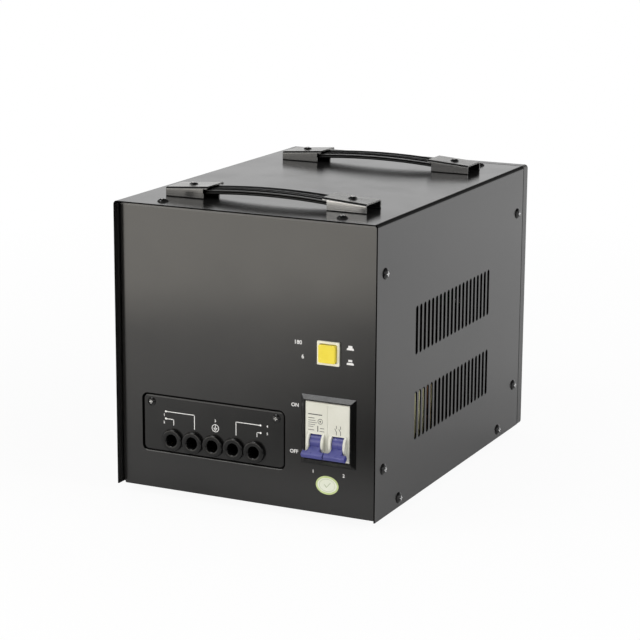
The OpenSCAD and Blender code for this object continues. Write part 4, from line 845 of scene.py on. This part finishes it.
def painted_glint_crosses():
    """Bright crosses raised in the screws' recesses, as painted glints on the heads."""
    bm = bmesh.new()
    # Shares of the head: the recess's floor, and half an arm's length and width.
    floor, arm_long, arm_wide = 0.5, 0.42, 0.09

    def cross(seat, axis, turn, radius, head_h, tall):
        axis = Vector(axis)
        first = Vector(turn)
        second = axis.cross(first)
        base = Vector(seat) + axis * head_h * floor
        for along, across in ((first, second), (second, first)):
            a, b = along * radius * arm_long, across * radius * arm_wide
            prism(bm, [base - a - b, base + a - b, base + a + b, base - a + b],
                  axis * head_h * tall)

    for side in (-1, 1):
        for y in (PANEL_Y + FRONT_ROW_IN, cover_high[1] - REAR_ROW_IN):
            cross((side * TOP_SCREW_X, y, TOP_Z), (0, 0, 1), (1, 0, 0), *COVER_SCREW)
            for z in (TOP_Z - SIDE_SCREW_IN, BOTTOM_Z + SIDE_SCREW_IN):
                cross((side * cover_high[0], y, z), (side, 0, 0), (0, 1, 0), *COVER_SCREW)
        for y in (cover_low[1] + LOW_FRONT_IN, chassis_high[1] - LOW_REAR_IN):
            cross((side * cover_high[0], y, BOTTOM_Z + LOW_SCREW_RISE), (side, 0, 0), (0, 1, 0),
                  *COVER_SCREW)
    for x in (lid_low[0] + LID_SCREW_IN, lid_high[0] - LID_SCREW_IN):
        cross((x, LID_Y, lid_high[2] - LID_SCREW_DROP), (0, -1, 0), (1, 0, 0), *LID_SCREW)
    for node in ("front_handle_caps", "rear_handle_caps"):
        low, high = box_mm(node)
        for x in (low[0] + CAP_SCREW_IN, high[0] - CAP_SCREW_IN):
            cross((x, (low[1] + high[1]) / 2, TOP_Z + CAP_SCREW_SEAT), (0, 0, 1), (1, 0, 0),
                  *CAP_SCREW)
    piece("screw_painted_glints", mesh_of(bm, "screw_painted_glints"), ["glint_steel"])


# ---------------------------------------------------------------- wound transformer

def rounded_section(width, height, radius, steps=7):
    """Outline of a rounded rectangle: radial place, height, and the normal's same two parts."""
    points = []
    for cx, cz, start in ((width / 2 - radius, height / 2 - radius, 0.0),
                          (radius - width / 2, height / 2 - radius, 90.0),
                          (radius - width / 2, radius - height / 2, 180.0),
                          (width / 2 - radius, radius - height / 2, 270.0)):
        for k in range(steps):
            angle = math.radians(start + 90.0 * k / (steps - 1))
            points.append((cx + radius * math.cos(angle), cz + radius * math.sin(angle),
                           math.cos(angle), math.sin(angle)))
    return points


def sweep(name, section, spans, middle, offset):
    """Sections set round the ring; offset(angle) is how far each stands out."""
    bm = bmesh.new()
    ring_r = (RING_OUTER_R + RING_INNER_R) / 2
    for angles, closed in spans:
        rows = []
        for angle in angles:
            rise = offset(angle)
            ca, sa = math.cos(angle), math.sin(angle)
            rows.append([bm.verts.new(Vector((
                middle[0] + (ring_r + r + nr * rise) * ca,
                middle[1] + (ring_r + r + nr * rise) * sa,
                middle[2] + z + nz * rise)) * MM) for r, z, nr, nz in section])
        count = len(rows)
        for i in range(count if closed else count - 1):
            a, b = rows[i], rows[(i + 1) % count]
            for k in range(len(section)):
                j = (k + 1) % len(section)
                bm.faces.new((a[k], b[k], b[j], a[j]))
        if not closed:
            bm.faces.new(rows[0])
            bm.faces.new(list(reversed(rows[-1])))
    mesh = mesh_of(bm, name)
    for face in mesh.polygons:
        face.use_smooth = True
    return mesh


def transformer():
    """Copper turns under bands of tape, in place of the CAD's smooth winding."""
    middle = [(winding_low[i] + winding_high[i]) / 2 for i in range(3)]
    width, height = RING_OUTER_R - RING_INNER_R, winding_high[2] - winding_low[2]

    def section(inset):
        return rounded_section(width - inset, height - inset, RING_CORNER_R)

    turns, steps_a_turn = 170, 4
    steps = turns * steps_a_turn
    wire = [2 * math.pi * k / steps for k in range(steps)]
    mesh = sweep("winding_turns", section(1.0), [(wire, True)], middle,
                 lambda angle: 0.35 * abs(math.sin(angle * turns / 2)) - 0.15)
    turns_piece = piece("winding_turns", mesh, ["winding_copper"])

    bands, bare_bands, band_share, band_steps = 26, (0, 5, 13, 19), 0.93, 6
    pitch = 2 * math.pi / bands
    spans = [([k * pitch + pitch * band_share * i / band_steps for i in range(band_steps + 1)],
              False) for k in range(bands) if k not in bare_bands]
    mesh = sweep("winding_tape", section(0.3), spans, middle,
                 lambda angle: 0.12 * ((angle / pitch) % 1.0))
    tape_piece = piece("winding_tape", mesh, ["winding_tape"])
    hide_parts("toroid_winding")
    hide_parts("toroid_winding")


# ---------------------------------------------------------------- display digits

def digits():
    """The grey segments of nine digits, three to a module."""
    bm = bmesh.new()
    y = digits_high[1]
    middle_z = (digits_low[2] + digits_high[2]) / 2
    half_tall, half_wide, half_bar, tip = 6.0, 3.2, 0.55, 0.77
    segments = ((-1, 1, 1, 1), (-1, 0, 1, 0), (-1, -1, 1, -1), (-1, 0, -1, 1), (1, 0, 1, 1),
                (-1, -1, -1, 0), (1, -1, 1, 0))
    for module in (-1, 0, 1):
        for place in (-1, 0, 1):
            x = module * MODULE_PITCH + place * DIGIT_PITCH
            for x0, z0, x1, z1 in segments:
                ax, az = x + x0 * half_wide, middle_z + z0 * half_tall
                bx, bz = x + x1 * half_wide, middle_z + z1 * half_tall
                if x0 == x1:
                    loop = [(ax - half_bar, az + tip), (ax + half_bar, az + tip),
                            (bx + half_bar, bz - tip), (bx - half_bar, bz - tip)]
                else:
                    loop = [(ax + tip, az - half_bar), (bx - tip, bz - half_bar),
                            (bx - tip, bz + half_bar), (ax + tip, az + half_bar)]
                prism(bm, [(px, y, pz) for px, pz in loop], (0.0, 0.05, 0.0))
    piece("display_segments", mesh_of(bm, "display_segments"), ["segment_grey"])


circuit_lines()
earth_sign()
lid_numbers()
panel_marks()
button_pictograms()
sticker()
breaker_marks()
painted_glint_crosses()
transformer()
digits()


# ---------------------------------------------------------------- floor, world and lamps

def glow(nodes, level):
    """Plain light of strength 1: white for level 1, black for 0."""
    node = nodes.new("ShaderNodeEmission")
    node.inputs["Color"].default_value = (level, level, level, 1.0)
    node.inputs["Strength"].default_value = 1.0
    return node.outputs["Emission"]


def mixed_shader(nodes, links, part, first, second):
    """The first shader where part is 0, the second where it is 1."""
    node = nodes.new("ShaderNodeMixShader")
    links.new(part, node.inputs["Fac"])
    links.new(first, node.inputs[1])
    links.new(second, node.inputs[2])
    return node.outputs["Shader"]


def floor_material():
    """A pale floor, white to the camera and to gloss, that keeps the object's shadow.

    To gloss alone it has a dark flag before the panel and at its right corner. Lengths are in
    metres from the frame's origin.
    """
    nodes, links, bsdf, vector = tree("floor_pale")
    out = next(n for n in nodes if n.type == "OUTPUT_MATERIAL")
    fac = noise(nodes, links, vector, 3.0)
    links.new(ramp(nodes, links, fac, [(0.3, grey(0.84)), (0.7, grey(0.87))]),
              bsdf.inputs["Base Color"])
    bsdf.inputs["Roughness"].default_value = 0.9
    bsdf.inputs["Specular IOR Level"].default_value = 0.1
    path = nodes.new("ShaderNodeLightPath")
    away = nodes.new("ShaderNodeVectorMath")
    away.operation = "LENGTH"
    links.new(vector, away.inputs[0])

    def share(ray, near, far, low, high):
        """Low near the object and high far from it, for one kind of ray."""
        return calc(nodes, links, "MULTIPLY", path.outputs[ray],
                    mapped(nodes, links, away.outputs["Value"], near, far, low, high))

    white = calc(nodes, links, "ADD", share("Is Camera Ray", 0.3, 1.1, 0.93, 1.0),
                 share("Is Glossy Ray", 0.22, 1.15, 0.0, 0.97))
    pale = mixed_shader(nodes, links, white, bsdf.outputs["BSDF"], glow(nodes, 1.0))
    x, y, _ = signed_parts(nodes, links, vector)
    ahead = calc(nodes, links, "MULTIPLY", y, -1.0)
    before_panel = both(nodes, links, step_up(nodes, links, x, -0.25, 0.05),
                        step_up(nodes, links, ahead, 0.2, 0.35))
    at_corner = both(nodes, links, step_up(nodes, links, x, 0.13, 0.2),
                     step_up(nodes, links, ahead, 0.16, 0.2))
    flag = either(nodes, links, calc(nodes, links, "MULTIPLY", before_panel, 0.8), at_corner)
    flag = both(nodes, links, flag, path.outputs["Is Glossy Ray"])
    links.new(mixed_shader(nodes, links, flag, pale, glow(nodes, 0.0)), out.inputs["Surface"])


def add_floor():
    floor_material()
    half, z = FLOOR_HALF, -FLOOR_DROP
    mesh = bpy.data.meshes.new("floor")
    mesh.from_pydata([(-half, -half, z), (half, -half, z), (half, half, z), (-half, half, z)],
                     [], [(0, 1, 2, 3)])
    mesh.materials.append(mats["floor_pale"])
    floor = bpy.data.objects.new("floor", mesh)
    bpy.context.collection.objects.link(floor)


def add_world():
    """White to the camera; to gloss, white near the horizon and dark overhead."""
    world = bpy.data.worlds.new("world")
    world.use_nodes = True
    nodes, links = world.node_tree.nodes, world.node_tree.links
    nodes.clear()
    out = nodes.new("ShaderNodeOutputWorld")
    back = nodes.new("ShaderNodeBackground")
    back.inputs["Color"].default_value = (1.0, 1.0, 1.0, 1.0)
    path = nodes.new("ShaderNodeLightPath")
    coords = nodes.new("ShaderNodeTexCoord")
    rise = signed_parts(nodes, links, coords.outputs["Generated"])[2]
    gloss_level = mapped(nodes, links, rise, 0.22, 0.38, 1.0, 0.06, smooth=True)
    level = mixed(nodes, links, path.outputs["Is Glossy Ray"], 0.55, gloss_level)
    white = calc(nodes, links, "MAXIMUM", path.outputs["Is Camera Ray"],
                 path.outputs["Is Transmission Ray"])
    links.new(calc(nodes, links, "MAXIMUM", white, level), back.inputs["Strength"])
    links.new(back.outputs["Background"], out.inputs["Surface"])
    bpy.context.scene.world = world


def add_lamp(name, place, target, width, height, radiance, color=(1.0, 1.0, 1.0), gloss=True,
             diffuse=True):
    """A soft lamp that the camera doesn't see. Lengths are in metres."""
    data = bpy.data.lights.new(name, "AREA")
    data.shape = "RECTANGLE"
    data.size = width
    data.size_y = height
    data.energy = radiance * math.pi * width * height
    data.color = color
    lamp = bpy.data.objects.new(name, data)
    aim = Vector(target) - Vector(place)
    turn = aim.to_track_quat("-Z", "Y").to_matrix().to_4x4()
    lamp.matrix_world = Matrix.Translation(place) @ turn
    lamp.visible_camera = False
    lamp.visible_glossy = gloss
    lamp.visible_diffuse = diffuse
    bpy.context.collection.objects.link(lamp)


add_floor()
add_world()
add_lamp("soft_key", (-0.9, -1.3, 1.9), (0.0, 0.0, 0.1), 1.4, 1.0, 2.2)
add_lamp("soft_side", (1.7, -0.1, 0.75), (0.0, 0.0, 0.1), 1.0, 1.0, 7.0, gloss=False)
add_lamp("over_strip", (-0.55, -0.42, 1.25), (0.0, -0.1, 0.1), 1.0, 0.4, 4.0, diffuse=False)
add_lamp("low_front", (-0.28, -0.66, 0.17), (0.0, -0.15, 0.15), 0.8, 0.3, 1.9, (1.0, 0.94, 0.83))

view = bpy.context.scene.view_settings
view.view_transform = "Standard"
